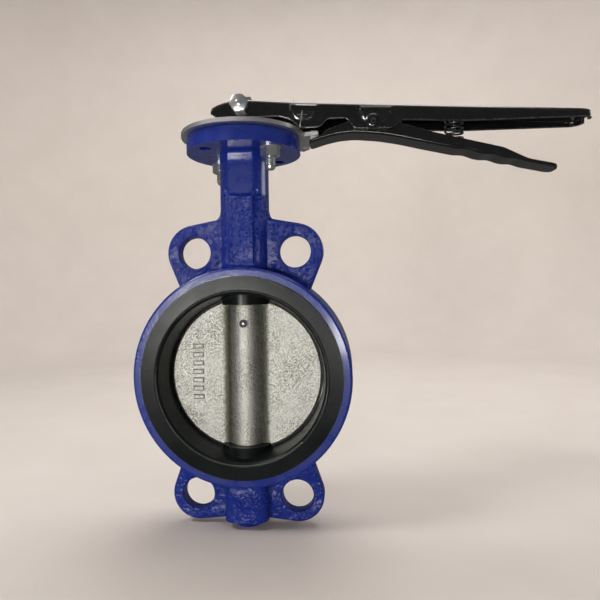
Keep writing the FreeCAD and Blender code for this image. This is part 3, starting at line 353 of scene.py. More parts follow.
@dataclass(frozen=True)
class MouldedRubber(Finish):
    """Black moulded rubber with a faint bloom.

    Attributes:
        colour: The rubber.
        bloom: The pale bloom on it.
        worn: Its colour where edges are rubbed.
        polish: Its lowest roughness.
    """

    colour: Colour = (0.006, 0.008, 0.008, 1)
    bloom: Colour = (0.014, 0.022, 0.024, 1)
    worn: Colour = (0.07, 0.085, 0.08, 1)
    polish: float = 0.2

    def wire(self, desk: Desk) -> dict[str, Value]:
        """The Principled shader's inputs, as values and sockets."""
        bloom = self.effect(desk, Effects.dust(), Amount=0.55, Patch=30.0)
        skin = self.effect(desk, Effects.cast_skin(), Grain=1500.0, Swell=0.5, Pits=0.1)
        rubbed = self.effect(desk, Effects.edge_wear(), Reach=0.0009, Breakup=90.0, Amount=0.5)
        base = desk.tint(bloom, self.colour, self.bloom)
        clouds = desk.noise(desk.place(), 30.0, 2.0)
        return {
            "Base Color": desk.tint(rubbed, base, self.worn),
            "Roughness": desk.span(clouds, 0.2, 0.8, self.polish, self.polish + 0.1),
            "Specular IOR Level": 0.22,
            "Normal": desk.bump(skin, 0.00012, 0.5),
        }


@dataclass(frozen=True)
class PlatedCasting(Finish):
    """Bright nickel over a grainy sand casting, with painted shade in the two valleys beside the hub and at
    the foot of the raised bars.

    Attributes:
        colour: The plate.
        stain: The plate in the pits of its grain.
        dirt_and_painted_shade: The painted shade in the two valleys and at the foot of the raised bars.
        valley: How far the valleys' middles are from the stem's axis, in metres.
        valley_reach: How far the painted shade spreads from a valley's middle, in metres.
        mark_middle: The x and z of the middle raised bar, in metres.
        mark_half: Half the length and half the height of a bar, in metres.
        mark_pitch: The step from one bar to the next, in metres.
    """

    colour: Colour = (0.83, 0.82, 0.76, 1)
    stain: Colour = (0.25, 0.245, 0.19, 1)
    dirt_and_painted_shade: Colour = (0.10, 0.10, 0.06, 1)
    valley: float = 0.0150
    valley_reach: float = 0.0052
    mark_middle: tuple[float, float] = (-0.039, 0.0019)
    mark_half: tuple[float, float] = (0.004, 0.0016)
    mark_pitch: float = 0.0068

    def valley_painted_shade(self, desk: Desk) -> Socket:
        """A mask of the painted shade in the valleys beside the hub.

        Args:
            desk: The desk of the material.

        Returns:
            The mask's socket.
        """
        x, _, _ = desk.split(desk.place())
        away = desk.math("ABSOLUTE", desk.math("SUBTRACT", desk.math("ABSOLUTE", x), self.valley))
        ragged = desk.math("MULTIPLY_ADD", desk.noise(desk.place(), 260.0, 4.0, 0.7), 0.0036, -0.0018)
        return desk.span(desk.math("ADD", away, ragged), 0.0008, self.valley_reach, 0.88, 0.0)

    def bar_foot_painted_shade(self, desk: Desk) -> Socket:
        """A mask of the painted shade that lines the foot of each raised bar.

        Args:
            desk: The desk of the material.

        Returns:
            The mask's socket.
        """
        x, y, z = desk.split(desk.place())
        half_pitch = self.mark_pitch / 2
        along = desk.math("ADD", z, half_pitch - self.mark_middle[1] + 4 * self.mark_pitch)
        within = desk.math("MODULO", along, self.mark_pitch)
        off_z = desk.math("ABSOLUTE", desk.math("SUBTRACT", within, half_pitch))
        off_x = desk.math("ABSOLUTE", desk.math("SUBTRACT", x, self.mark_middle[0]))
        past = desk.math("MAXIMUM", desk.math("SUBTRACT", off_x, self.mark_half[0]),
                         desk.math("SUBTRACT", off_z, self.mark_half[1]))
        line = desk.span(desk.math("ABSOLUTE", past), 0.0001, 0.0008, 0.85, 0.0)
        from_middle = desk.math("ABSOLUTE", desk.math("SUBTRACT", z, self.mark_middle[1]))
        column = desk.math("LESS_THAN", from_middle, 3.5 * self.mark_pitch)
        front = desk.math("LESS_THAN", y, 0.0)
        return desk.math("MULTIPLY", desk.math("MULTIPLY", line, column), front)

    def wire(self, desk: Desk) -> dict[str, Value]:
        """The Principled shader's inputs, as values and sockets."""
        skin = self.effect(desk, Effects.cast_skin(), Grain=1500.0, Swell=0.4, Pits=0.6)
        patches = desk.span(desk.noise(desk.place(), 800.0, 5.0, 0.75), 0.44, 0.60)
        clouds = desk.span(desk.noise(desk.place(), 40.0, 3.0), 0.35, 0.7, 0.35, 0.9)
        stained = desk.math("MULTIPLY", patches, clouds)
        wear = self.effect(desk, Effects.edge_wear(), Reach=0.0009, Breakup=500.0, Amount=0.6)
        base = desk.tint(stained, self.colour, self.stain)
        # Painted shade: the valleys beside the hub and the foot of each raised bar are darkened in the colour.
        dirt_and_painted_shade = desk.math("MAXIMUM", self.valley_painted_shade(desk), self.bar_foot_painted_shade(desk))
        base = desk.tint(dirt_and_painted_shade, base, self.dirt_and_painted_shade)
        return {
            "Base Color": desk.tint(wear, base, (0.92, 0.91, 0.88, 1)),
            "Metallic": 1.0,
            "Roughness": desk.span(skin, 0.5, 1.6, 0.32, 0.54),
            "Normal": desk.bump(skin, 0.00034, 0.85),
        }


@dataclass(frozen=True)
class PlatedSteel(Finish):
    """Zinc or nickel plated steel with streaks and small dull patches.

    Attributes:
        colour: The plate.
        dull: The plate where it has dulled.
        polish: Its lowest roughness.
        streak: How deep the streaks are.
    """

    colour: Colour = (0.83, 0.85, 0.88, 1)
    dull: Colour = (0.52, 0.53, 0.54, 1)
    polish: float = 0.2
    streak: float = 1.0

    def wire(self, desk: Desk) -> dict[str, Value]:
        """The Principled shader's inputs, as values and sockets."""
        streaks = self.effect(desk, Effects.brushing(), Fineness=2600.0, Amount=self.streak)
        dirt_and_painted_shade = self.effect(desk, Effects.dust(), Amount=0.5, Patch=150.0)
        wear = self.effect(desk, Effects.edge_wear(), Reach=0.0005, Breakup=900.0, Amount=0.5)
        base = desk.tint(dirt_and_painted_shade, self.colour, self.dull)
        return {
            "Base Color": desk.tint(wear, base, (0.93, 0.93, 0.94, 1)),
            "Metallic": desk.span(dirt_and_painted_shade, 0.0, 0.6, 0.95, 0.72),
            "Roughness": desk.span(streaks, 0.3, 0.8, self.polish, self.polish + 0.14),
            "Normal": desk.bump(streaks, 0.00005, 0.5),
        }


@dataclass(frozen=True)
class BakedCoat(Finish):
    """Glossy black baked coat on pressed steel, rubbed bright along its edges, the rubbed colour light enough
    to also be a painted highlight along edges and bends.

    Attributes:
        colour: The coat.
        rub_and_highlight: The rubbed edge, also a painted highlight along edges and bends.
    """

    colour: Colour = (0.0055, 0.0055, 0.006, 1)
    rub_and_highlight: Colour = (0.42, 0.42, 0.42, 1)

    def wire(self, desk: Desk) -> dict[str, Value]:
        """The Principled shader's inputs, as values and sockets."""
        skin = self.effect(desk, Effects.cast_skin(), Grain=330.0, Swell=0.9, Pits=0.0)
        wear = self.effect(desk, Effects.edge_wear(), Reach=0.0007, Breakup=420.0, Amount=0.5)
        dirt_and_painted_shade = self.effect(desk, Effects.dust(), Amount=0.35, Patch=90.0)
        base = desk.tint(dirt_and_painted_shade, self.colour, (0.03, 0.03, 0.03, 1))
        return {
            # Painted highlight: the edge mask lightens edges, bends and dimple rims, partly as real rubbing
            # and partly in place of glints.
            "Base Color": desk.tint(wear, base, self.rub_and_highlight),
            "Roughness": desk.span(dirt_and_painted_shade, 0.0, 0.35, 0.2, 0.36),
            "Coat Weight": 0.6,
            "Coat Roughness": 0.08,
            "Normal": desk.bump(skin, 0.00012, 0.6),
        }


@dataclass(frozen=True)
class MouldedPolymer(Finish):
    """Plain moulded or machined polymer of the bushes.

    Attributes:
        colour: The polymer.
    """

    colour: Colour = (0.62, 0.60, 0.53, 1)

    def wire(self, desk: Desk) -> dict[str, Value]:
        """The Principled shader's inputs, as values and sockets."""
        skin = self.effect(desk, Effects.cast_skin(), Grain=2000.0, Swell=0.4, Pits=0.1)
        dirt_and_painted_shade = self.effect(desk, Effects.dust(), Amount=0.4, Patch=200.0)
        return {
            "Base Color": desk.tint(dirt_and_painted_shade, self.colour, (0.35, 0.33, 0.28, 1)),
            "Roughness": desk.span(skin, 0.4, 1.4, 0.38, 0.52),
            "Normal": desk.bump(skin, 0.00005, 0.5),
        }


BLUE_EPOXY = EpoxyOnCasting("royal_blue_epoxy", Slot.EPOXY)
SEAT_RUBBER = MouldedRubber("black_seat_rubber", Slot.RUBBER)
RING_RUBBER = MouldedRubber("black_ring_rubber", Slot.SEAL, polish=0.22)
NICKEL = PlatedCasting("nickel_plated_casting", Slot.NICKEL)
STAINLESS = PlatedSteel("turned_stainless", Slot.STAINLESS,
                        (0.70, 0.69, 0.67, 1), (0.42, 0.41, 0.40, 1), 0.24)
ZINC_SHEET = PlatedSteel("zinc_plated_sheet", Slot.ZINC_SHEET,
                         (0.88, 0.88, 0.87, 1), (0.62, 0.61, 0.60, 1), 0.30)
ZINC_BOLT = PlatedSteel("zinc_plated_fastener", Slot.ZINC_FASTENER,
                        (0.80, 0.81, 0.83, 1), (0.45, 0.44, 0.42, 1), 0.28, 0.6)
BLACK_COAT = BakedCoat("black_baked_coat", Slot.COAT)
SPRING_WIRE = PlatedSteel("drawn_spring_wire", Slot.SPRING,
                          (0.24, 0.24, 0.24, 1), (0.10, 0.10, 0.10, 1), 0.26, 0.5)
TOOTH_STEEL = PlatedSteel("hardened_tooth", Slot.TOOTH, (0.40, 0.39, 0.38, 1), (0.20, 0.19, 0.18, 1), 0.32)
BUSH = MouldedPolymer("bearing_polymer", Slot.BUSH)


# ---------------------------------------------------------------- making meshes


class Blank:
    """A mesh in the making, in millimetres."""

    def __init__(self, name: str) -> None:
        """Start an empty mesh for a piece of this name."""
        self.name = name
        self.mesh = bmesh.new()

    def chain(self, points: Iterable[Sequence[float]], closed: bool = False) -> list[bmesh.types.BMEdge]:
        """Join points with edges.

        Args:
            points: The points, in order.
            closed: Whether the last is joined to the first.

        Returns:
            The edges.
        """
        dots = [self.mesh.verts.new(point) for point in points]
        ends = dots[1:] + dots[:1] if closed else dots[1:]
        return [self.mesh.edges.new(pair) for pair in zip(dots, ends)]

    def sweep(self, edges: list[bmesh.types.BMEdge], steps: int, angle: float = FULL_TURN, rise: float = 0.0,
              merge: bool = False) -> None:
        """Spin edges round the Z axis.

        Args:
            edges: The edges.
            steps: How many facets the sweep has.
            angle: How far it turns, in radians.
            rise: How far it climbs on the way.
            merge: Whether its two ends are joined.
        """
        geometry = list({dot for edge in edges for dot in edge.verts}) + edges
        bmesh.ops.spin(self.mesh, geom=geometry, cent=(0, 0, 0), axis=(0, 0, 1), angle=angle, steps=steps,
                       dvec=(0, 0, rise / steps), use_merge=merge)

    def grow(self, face: bmesh.types.BMFace, step: Sequence[float],
             ) -> tuple[bmesh.types.BMFace, list[bmesh.types.BMVert]]:
        """Pull a face out of the mesh.

        Args:
            face: The face.
            step: How far it is pulled along each axis.

        Returns:
            The face at the end of the pull, and its corners.
        """
        grown = bmesh.ops.extrude_face_region(self.mesh, geom=[face])["geom"]
        dots = [item for item in grown if isinstance(item, bmesh.types.BMVert)]
        bmesh.ops.translate(self.mesh, vec=step, verts=dots)
        return next(item for item in grown if isinstance(item, bmesh.types.BMFace)), dots

    def since(self, before: set[bmesh.types.BMVert]) -> list[bmesh.types.BMVert]:
        """The vertices that were added since a set of them was taken."""
        return [dot for dot in self.mesh.verts if dot not in before]

    def move(self, before: set[bmesh.types.BMVert], place: Matrix) -> None:
        """Put what was added since a set of vertices was taken in its place."""
        bmesh.ops.transform(self.mesh, matrix=place, verts=self.since(before))

    def turned(self, profile: Outline, steps: int = 48, closed: bool = True,
               place: Matrix = Matrix()) -> None:
        """Turn a profile of radii and heights round the Z axis.

        Args:
            profile: The radius and height of each point.
            steps: How many facets the full turn has.
            closed: Whether the profile is a closed loop.
            place: Where the turned shape goes.
        """
        before = set(self.mesh.verts)
        edges = self.chain([(radius, 0, height) for radius, height in profile], closed)
        self.sweep(edges, steps, merge=True)
        bmesh.ops.remove_doubles(self.mesh, verts=self.since(before), dist=WELD)
        self.move(before, place)

    def finish(self, body: Body, finish: Finish, *replaces: str, crease: float = 34.0) -> bpy.types.Object:
        """Turn the mesh into a piece of the valve.

        Args:
            body: The body that the piece rides on.
            finish: Its finish.
            *replaces: The engineering nodes that it stands for.
            crease: The angle in degrees past which an edge stays sharp.

        Returns:
            The piece.
        """
        bmesh.ops.remove_doubles(self.mesh, verts=self.mesh.verts, dist=WELD)
        bmesh.ops.recalc_face_normals(self.mesh, faces=self.mesh.faces)
        bmesh.ops.scale(self.mesh, vec=(METRES,) * 3, verts=self.mesh.verts)
        data = bpy.data.meshes.new(self.name)
        self.mesh.to_mesh(data)
        self.mesh.free()
        data.shade_smooth()
        data.set_sharp_from_angle(angle=math.radians(crease))
        data.materials.append(finish.material())
        piece = bpy.data.objects.new(self.name, data)
        bpy.context.scene.collection.objects.link(piece)
        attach(piece, body.value)
        if replaces:
            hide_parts(*replaces)
        LOG.info("%s: %d faces", self.name, len(data.polygons))
        return piece


def line_at(outline: Outline, x: float) -> float:
    """The height of a broken line at x.

    Args:
        outline: The line's points, in order of x.
        x: Where the height is wanted.

    Returns:
        The height, held level past both ends.
    """
    if x <= outline[0][0]:
        return outline[0][1]
    for (near_x, near_z), (far_x, far_z) in zip(outline, outline[1:]):
        if x <= far_x:
            return near_z + (far_z - near_z) * (x - near_x) / (far_x - near_x)
    return outline[-1][1]


def soft_line(outline: Outline, x: float, reach: float) -> float:
    """The height of a broken line at x, with its corners rounded.

    Args:
        outline: The line's points, in order of x.
        x: Where the height is wanted.
        reach: How far each side of a corner the rounding goes.

    Returns:
        The rounded height.
    """
    spots = (-1.0, -0.5, 0.0, 0.5, 1.0)
    low, high = outline[0][0], outline[-1][0]
    reach = max(min(reach, x - low, high - x), 0.0)
    return sum(line_at(outline, x + reach * spot) for spot in spots) / len(spots)


def smooth_step(value: float) -> float:
    """Ease from 0 to 1 as a value goes from 0 to 1."""
    held = min(max(value, 0.0), 1.0)
    return held * held * (3 - 2 * held)


@dataclass(frozen=True)
class Dimple:
    """A D-shaped dimple pressed outwards in both walls of the lever.

    Attributes:
        left: Its left end at the top.
        right: Its right end at the top.
        top: The height of its straight top edge at the left.
        low: The height where its round side ends.
        slope: How much the top edge falls per millimetre.
        deep: How far it stands out.
        soft: The width of its sloping edge.
        power: The power that shapes its round side.
    """

    left: float
    right: float
    top: float
    low: float
    slope: float = 0.05
    deep: float = 1.1
    soft: float = 1.2
    power: float = 2.6

    def depth(self, x: float, z: float) -> float:
        """How far the wall is pressed out at a place.

        Args:
            x: The place along the lever.
            z: Its height.

        Returns:
            The distance in millimetres.
        """
        middle = (self.left + self.right) / 2
        half = (self.right - self.left) / 2
        top = self.top - self.slope * (x - self.left)
        tall = top - self.low
        across, down = (x - middle) / half, (top - z) / tall
        if abs(across) >= 1:
            return 0.0
        round_side = (1 - abs(across) ** self.power) ** (1 / self.power)
        inside = min((top - z) / self.soft, (round_side - down) * tall / self.soft)
        fade = 1 - 0.6 * smooth_step((down - 0.3) / 0.6)
        return self.deep * smooth_step(inside) * fade


@dataclass
class PressedChannel:
    """A channel pressed from sheet steel, open on one long side.

    Attributes:
        name: The piece's name.
        spine: The outer line of its closed side, in order of x.
        rim: The line of its walls' free edges, in order of x.
        half_width: Half its outer width.
        bend: The outer radius of its two long bends.
        sheet: The thickness of the sheet.
        nose: How far the plan is rounded at its two ends.
        dimples: The dimples in its walls.
        hole: Half the side of the square hole on the stem axis, or 0.
        ripple: Extra height of the closed side at a place.
        pitch: The length of one facet along the channel.
        wall_rows: Facets up each wall.
        bend_rows: Facets round each bend.
        roof_rows: Facets across the closed side.
        spine_soft: How far the corners of the closed side's line are rounded.
        rim_soft: How far the corners of the rim are rounded.
        edge_soft: How far the sheet's sharp edges are bevelled.
    """

    name: str
    spine: Outline
    rim: Outline
    half_width: float
    bend: float
    sheet: float
    nose: tuple[float, float] = (0.0, 0.0)
    dimples: Sequence[Dimple] = ()
    hole: float = 0.0
    ripple: Callable[[float], float] = lambda x: 0.0
    pitch: float = 1.0
    wall_rows: int = 16
    bend_rows: int = 5
    roof_rows: int = 14
    spine_soft: float = 3.0
    rim_soft: float = 1.6
    edge_soft: float = 0.35

    def half_at(self, x: float) -> float:
        """Half the outer width at x, less where an end is rounded."""
        start, end = self.spine[0][0], self.spine[-1][0]
        half = self.half_width
        for gap, radius in ((x - start, self.nose[0]), (end - x, self.nose[1])):
            if radius and gap < radius:
                chord = math.sqrt(max(radius**2 - (radius - gap) ** 2, 0.0))
                half = min(half, self.half_width - radius + chord)
        return half

    def section_point(self, x: float, row: int) -> Vector:
        """Where a point of the outer skin lies.

        Args:
            x: The place along the channel.
            row: The row across it, from the near rim to the far rim.

        Returns:
            The point.
        """
        across = 2 * (self.wall_rows + self.bend_rows) + self.roof_rows
        side = -1.0 if row <= across / 2 else 1.0
        step = row if side < 0 else across - row
        half = self.half_at(x)
        roof = soft_line(self.spine, x, self.spine_soft) + self.ripple(x)
        rim = soft_line(self.rim, x, self.rim_soft)
        away = 1.0 if roof > rim else -1.0
        corner = roof - away * self.bend
        if step <= self.wall_rows:
            z = rim + (corner - rim) * step / self.wall_rows
            outward = sum(dimple.depth(x, z) for dimple in self.dimples)
            return Vector((x, side * (half + outward), z))
        if step <= self.wall_rows + self.bend_rows:
            angle = math.pi / 2 * (step - self.wall_rows) / self.bend_rows
            y = half - self.bend + self.bend * math.cos(angle)
            return Vector((x, side * y, corner + away * self.bend * math.sin(angle)))
        part = (step - self.wall_rows - self.bend_rows) / (self.roof_rows / 2)
        return Vector((x, side * (half - self.bend) * (1 - part), roof))

    def build(self) -> Blank:
        """Press the channel.

        Returns:
            The channel as a blank.
        """
        start, end = self.spine[0][0], self.spine[-1][0]
        columns = round((end - start) / self.pitch)
        rows = 2 * (self.wall_rows + self.bend_rows) + self.roof_rows
        blank = Blank(self.name)
        bmesh.ops.create_grid(blank.mesh, x_segments=columns, y_segments=rows, size=0.5)
        for dot in blank.mesh.verts:
            column, row = round((dot.co.x + 0.5) * columns), round((dot.co.y + 0.5) * rows)
            dot.co = self.section_point(start + (end - start) * column / columns, row)
        if self.hole:
            inside = [face for face in blank.mesh.faces
                      if max(abs(part) for part in face.calc_center_median().xy) < self.hole]
            bmesh.ops.delete(blank.mesh, geom=inside, context="FACES")
        bmesh.ops.recalc_face_normals(blank.mesh, faces=blank.mesh.faces)
        middle = blank.mesh.faces[:]
        outward = sum(face.normal.y * face.calc_center_median().y for face in middle)
        if outward < 0:
            bmesh.ops.reverse_faces(blank.mesh, faces=middle)
        bmesh.ops.solidify(blank.mesh, geom=middle, thickness=self.sheet)
        sharp = [edge for edge in blank.mesh.edges
                 if len(edge.link_faces) == 2 and edge.calc_face_angle() > math.radians(60)]
        bmesh.ops.bevel(blank.mesh, geom=sharp, offset=self.edge_soft, segments=2, profile=0.5,
                        affect="EDGES", material=-1)
        return blank


def upright(x: float, y: float, z: float) -> Matrix:
    """A frame at a place, with its Z axis up."""
    return Matrix.Translation((x, y, z))


def upside_down(x: float, y: float, z: float) -> Matrix:
    """A frame at a place, with its Z axis down."""
    return upright(x, y, z) @ Matrix.Rotation(math.pi, 4, "X")


def facing(x: float, y: float, z: float, towards: float) -> Matrix:
    """A frame at a place, with its Z axis along +Y for 1 and along -Y for -1."""
    return upright(x, y, z) @ Matrix.Rotation(-towards * math.pi / 2, 4, "X")


@dataclass(frozen=True)
class HexShape:
    """The shape of an M8 head or nut.

    Attributes:
        flats: Its width across flats.
        high: Its height.
        splits: Facets along each of its six sides.
        slope: The chamfer's slope.
        bore: The radius of the hole through it, or 0.
        lead: The chamfer at the hole's mouth.
        crown: The part of its width that the chamfer leaves on top.
    """

    flats: float = 13.0
    high: float = 5.3
    splits: int = 6
    slope: float = math.tan(math.radians(30))
    bore: float = 0.0
    lead: float = 0.6
    crown: float = 0.96

    def add(self, blank: Blank, place: Matrix) -> None:
        """Add the hexagon to a blank.

        Args:
            blank: The blank.
            place: A frame at the bottom of the hexagon, Z towards its chamfered end.
        """
        before = set(blank.mesh.verts)
        corner = self.flats / 2 / math.cos(math.pi / 6)
        circle = bmesh.ops.create_circle(blank.mesh, cap_ends=True, radius=corner, segments=6)
        floor = circle["verts"][0].link_faces[0]
        bmesh.ops.subdivide_edges(blank.mesh, edges=floor.edges[:], cuts=self.splits - 1)
        floor = next(face for face in blank.mesh.faces if not set(face.verts) & before)
        top, dots = blank.grow(floor, (0, 0, self.high))
        inner = self.flats / 2 * self.crown
        rings = [(inner, 0.0)]
        if self.bore:
            rings += [(self.bore + self.lead, 0.0), (self.bore, self.lead)]
        for number, (radius, drop) in enumerate(rings):
            bmesh.ops.inset_individual(blank.mesh, faces=[top], thickness=0.3)
            for dot in top.verts:
                dot.co.xy = dot.co.xy.normalized() * radius
                dot.co.z -= drop
            if number == 0:
                for dot in dots:
                    dot.co.z -= (dot.co.xy.length - inner) * self.slope
        blank.move(before, place)


@dataclass(frozen=True)
class Thread:
    """An outside thread with a chamfered tip.

    Attributes:
        radius: Its outer radius.
        pitch: Its pitch.
        steps: Facets in one turn.
        depth: Its depth as a part of its pitch.
        crest: Where its flat crest starts and ends, as parts of its pitch.
    """

    radius: float = 4.0
    pitch: float = 1.25
    steps: int = 24
    depth: float = 0.61
    crest: tuple[float, float] = (0.44, 0.56)

    def add(self, blank: Blank, length: float, place: Matrix) -> None:
        """Wind the thread and close its tip.

        Args:
            blank: The blank.
            length: The length of the threaded part.
            place: A frame at the thread's start, Z towards its tip.
        """
        before = set(blank.mesh.verts)
        root = self.radius - self.depth * self.pitch
        profile = []
        for turn in range(int((length - 1.0) / self.pitch)):
            low = turn * self.pitch
            profile += [(root, low)] + [(self.radius, low + part * self.pitch) for part in self.crest]
        edges = blank.chain([(radius, 0, height) for radius, height in profile])
        blank.sweep(edges, self.steps, rise=self.pitch)
        blank.move(before, place)
        tip = [(0, 0), (root + 0.05, 0), (root + 0.05, length - 0.9), (root - 0.5, length), (0, length)]
        blank.turned(tip, 24, False, place)


def washer_profile(inner: float, outer: float, thick: float, soft: float = 0.25) -> Outline:
    """The section of a flat washer, as radius and height of each softened corner."""
    return [(inner, soft), (inner + soft, 0), (outer - soft, 0), (outer, soft), (outer, thick - soft),
            (outer - soft, thick), (inner + soft, thick), (inner, thick - soft)]


def bead_profile(radius: float, level: float, thick: float, sides: int) -> Outline:
    """The section of a round ring, as radius and height of each corner."""
    turns = [FULL_TURN * step / sides for step in range(sides)]
    return [(radius + thick * math.cos(turn), level + thick * math.sin(turn)) for turn in turns]


# ---------------------------------------------------------------- sub-assemblies


@dataclass
class CarriedOver:
    """The engineering nodes whose shape is already right.

    Attributes:
        nodes: The loaded nodes, by name.
        finishes: The finish of each node.
    """

    nodes: dict[str, bpy.types.Object]
    finishes: dict[str, Finish] = field(default_factory=lambda: {
        "valve_body": BLUE_EPOXY,
        "seat_liner": SEAT_RUBBER,
        "top_bush": BUSH,
        "neck_bush": BUSH,
        "foot_bush": BUSH,
        "stem_o_ring_low": RING_RUBBER,
        "stem_o_ring_high": RING_RUBBER,
        "retaining_clip": SPRING_WIRE,
        "notch_plate": ZINC_SHEET,
        "disc": NICKEL,
        "upper_stem": STAINLESS,
        "lower_stem": STAINLESS,
        "lever_socket": BLACK_COAT,
        "spring_stud": BLACK_COAT,
        "locking_tooth": TOOTH_STEEL,
    })

    def dress(self) -> None:
        """Give each node its finish."""
        for name, finish in self.finishes.items():
            node = self.nodes[name]
            for slot in node.material_slots:
                slot.material = finish.material()
            LOG.info("%s: finish %s", name, finish.name)


@dataclass
class Fasteners:
    """The M8 bolts, nuts and washers.

    Attributes:
        hole: How far each bolted flange hole is from both middle planes.
        plate_top: The height of the notch plate's top.
        flange_low: The height of the flange's underside.
        washer_radius: The radius of the flat washers.
        washer_thick: Their thickness.
        head: The bolt head's shape.
        nut: The nut's shape.
        sunk_radius: The radius of a flush head.
        sunk_deep: The depth of a flush head.
        socket_radius: The radius of the socket in a flush head.
        bolt_length: The whole length of a plate bolt.
        lever_height: The height of the lever's cross bolt.
        lever_half: Half the lever's width.
        lever_bolt_length: The length of the lever's bolt under its head.
        spring_washer_radius: The radius of the split washer.
        spring_washer_thick: Its height, split included.
        washer_hole: The radius of the flat washers' hole.
        socket_deep: The depth of the socket in a flush head.
        neck: The radius where a flush head meets its shank.
        shank: The radius of the plain shanks.
        plate_plain: How far down a plate bolt is plain, head included.
        lever_plain: How long the lever bolt's plain shank is.
        lap: How far each thread runs up inside its shank.
    """

    hole: float = 24.749
    plate_top: float = 189.3
    flange_low: float = 174.3
    washer_radius: float = 8.0
    washer_thick: float = 1.6
    head: HexShape = HexShape()
    nut: HexShape = HexShape(high=6.5, bore=3.4)
    sunk_radius: float = 7.4
    sunk_deep: float = 3.0
    socket_radius: float = 2.7
    bolt_length: float = 32.6
    lever_height: float = 210.0
    lever_half: float = 14.0
    lever_bolt_length: float = 40.0
    spring_washer_radius: float = 7.4
    spring_washer_thick: float = 2.0
    washer_hole: float = 4.2
    socket_deep: float = 1.9
    neck: float = 4.35
    shank: float = 3.95
    plate_plain: float = 14.0
    lever_plain: float = 28.0
    lap: float = 1.0

    def washer(self, name: str, place: Matrix) -> None:
        """Make a flat washer.

        Args:
            name: The node that it stands for.
            place: A frame at its lower face.
        """
        blank = Blank(f"{name}_stamped")
        blank.turned(washer_profile(self.washer_hole, self.washer_radius, self.washer_thick), place=place)
        blank.finish(Body.VALVE, ZINC_BOLT, name)

    def plate_bolt(self, label: str, side: float) -> None:
        """Make one of the two flush bolts that hold the notch plate, with its nut and washer.

        Args:
            label: front or back.
            side: 1 for the front right hole and -1 for the back left one.
        """
        x, y = side * self.hole, -side * self.hole
        top = upside_down(x, y, self.plate_top)
        self.washer(f"flange_washer_{label}", upright(x, y, self.flange_low - self.washer_thick))
        bolt = Blank(f"plate_bolt_{label}_threaded")
        big, socket, plain = self.sunk_radius, self.socket_radius, self.plate_plain
        head = [(0, self.socket_deep), (socket, self.socket_deep), (socket, 0.25), (socket + 0.25, 0.0),
                (big - 0.3, 0.0), (big, 0.3), (self.neck, self.sunk_deep)]
        shank = [(self.shank, self.sunk_deep + 0.1), (self.shank, plain), (0, plain)]
        bolt.turned(head + shank, 36, False, top)
        start = plain - self.lap
        Thread().add(bolt, self.bolt_length - start, top @ upright(0, 0, start))
        bolt.finish(Body.VALVE, ZINC_BOLT, f"plate_bolt_{label}")
        nut = Blank(f"plate_nut_{label}_chamfered")
        turn = Matrix.Rotation(math.radians(12), 4, "Z")
        self.nut.add(nut, upside_down(x, y, self.flange_low - self.washer_thick) @ turn)
        nut.finish(Body.VALVE, ZINC_BOLT, f"plate_nut_{label}")

    def lever_bolt(self) -> None:
        """Make the lever's cross bolt, its split washer and its nut."""
        bolt = Blank("lever_bolt_threaded")
        near = facing(0, -self.lever_half, self.lever_height, -1)
        turn = Matrix.Rotation(math.radians(34), 4, "Z")
        self.head.add(bolt, near @ turn)
        away = facing(0, -self.lever_half, self.lever_height, 1)
        shank, plain, start = self.shank, self.lever_plain, self.lever_plain - self.lap
        bolt.turned([(0, 0), (shank, 0), (shank, plain), (0, plain)], 24, False, away)
        Thread().add(bolt, self.lever_bolt_length - start, away @ upright(0, 0, start))
        mark = near @ upright(0, 0, self.head.high - 0.1)
        bolt.turned([(0, 0.35), (2.0, 0.35), (2.6, 0.0), (0, 0.0)], 24, False, mark)
        bolt.finish(Body.ROTOR, ZINC_BOLT, "lever_bolt")
        split = Blank("lever_spring_washer_split")
        face = facing(0, self.lever_half, self.lever_height, 1)
        inner, outer, thick = 4.1, self.spring_washer_radius, self.spring_washer_thick * 0.85
        edges = split.chain([(inner, 0, 0), (outer, 0, 0), (outer, 0, thick), (inner, 0, thick)], True)
        split.sweep(edges, 44, math.radians(352), self.spring_washer_thick - thick)
        bmesh.ops.holes_fill(split.mesh, edges=split.mesh.edges, sides=4)
        bmesh.ops.transform(split.mesh, matrix=face, verts=split.mesh.verts)
        split.finish(Body.ROTOR, ZINC_BOLT, "lever_spring_washer")
        nut = Blank("lever_nut_chamfered")
        self.nut.add(nut, facing(0, self.lever_half + self.spring_washer_thick, self.lever_height, 1))
        nut.finish(Body.ROTOR, ZINC_BOLT, "lever_nut")

    def build(self) -> None:
        """Make every fastener."""
        self.plate_bolt("front", 1.0)
        self.plate_bolt("back", -1.0)
        self.lever_bolt()


@dataclass
class SeatDetails:
    """The fine moulded bead round each mouth of the seat.

    Attributes:
        face: How far the seat's faces are from the middle of the valve.
        radius: The radius of the bead's ring.
        bead: The radius of the bead itself.
        sunk: How far its middle lies under the face.
        facets: Facets round the ring.
    """

    face: float = 28.0
    radius: float = 66.9
    bead: float = 0.6
    sunk: float = 0.1
    facets: int = 160

    def build(self) -> None:
        """Mould both beads."""
        for name, side in (("front", -1), ("back", 1)):
            blank = Blank(f"seat_bead_{name}")
            bead = bead_profile(self.radius, self.face - self.sunk, self.bead, 12)
            blank.turned(bead, self.facets, True, facing(0, 0, 0, side))
            blank.finish(Body.VALVE, SEAT_RUBBER)


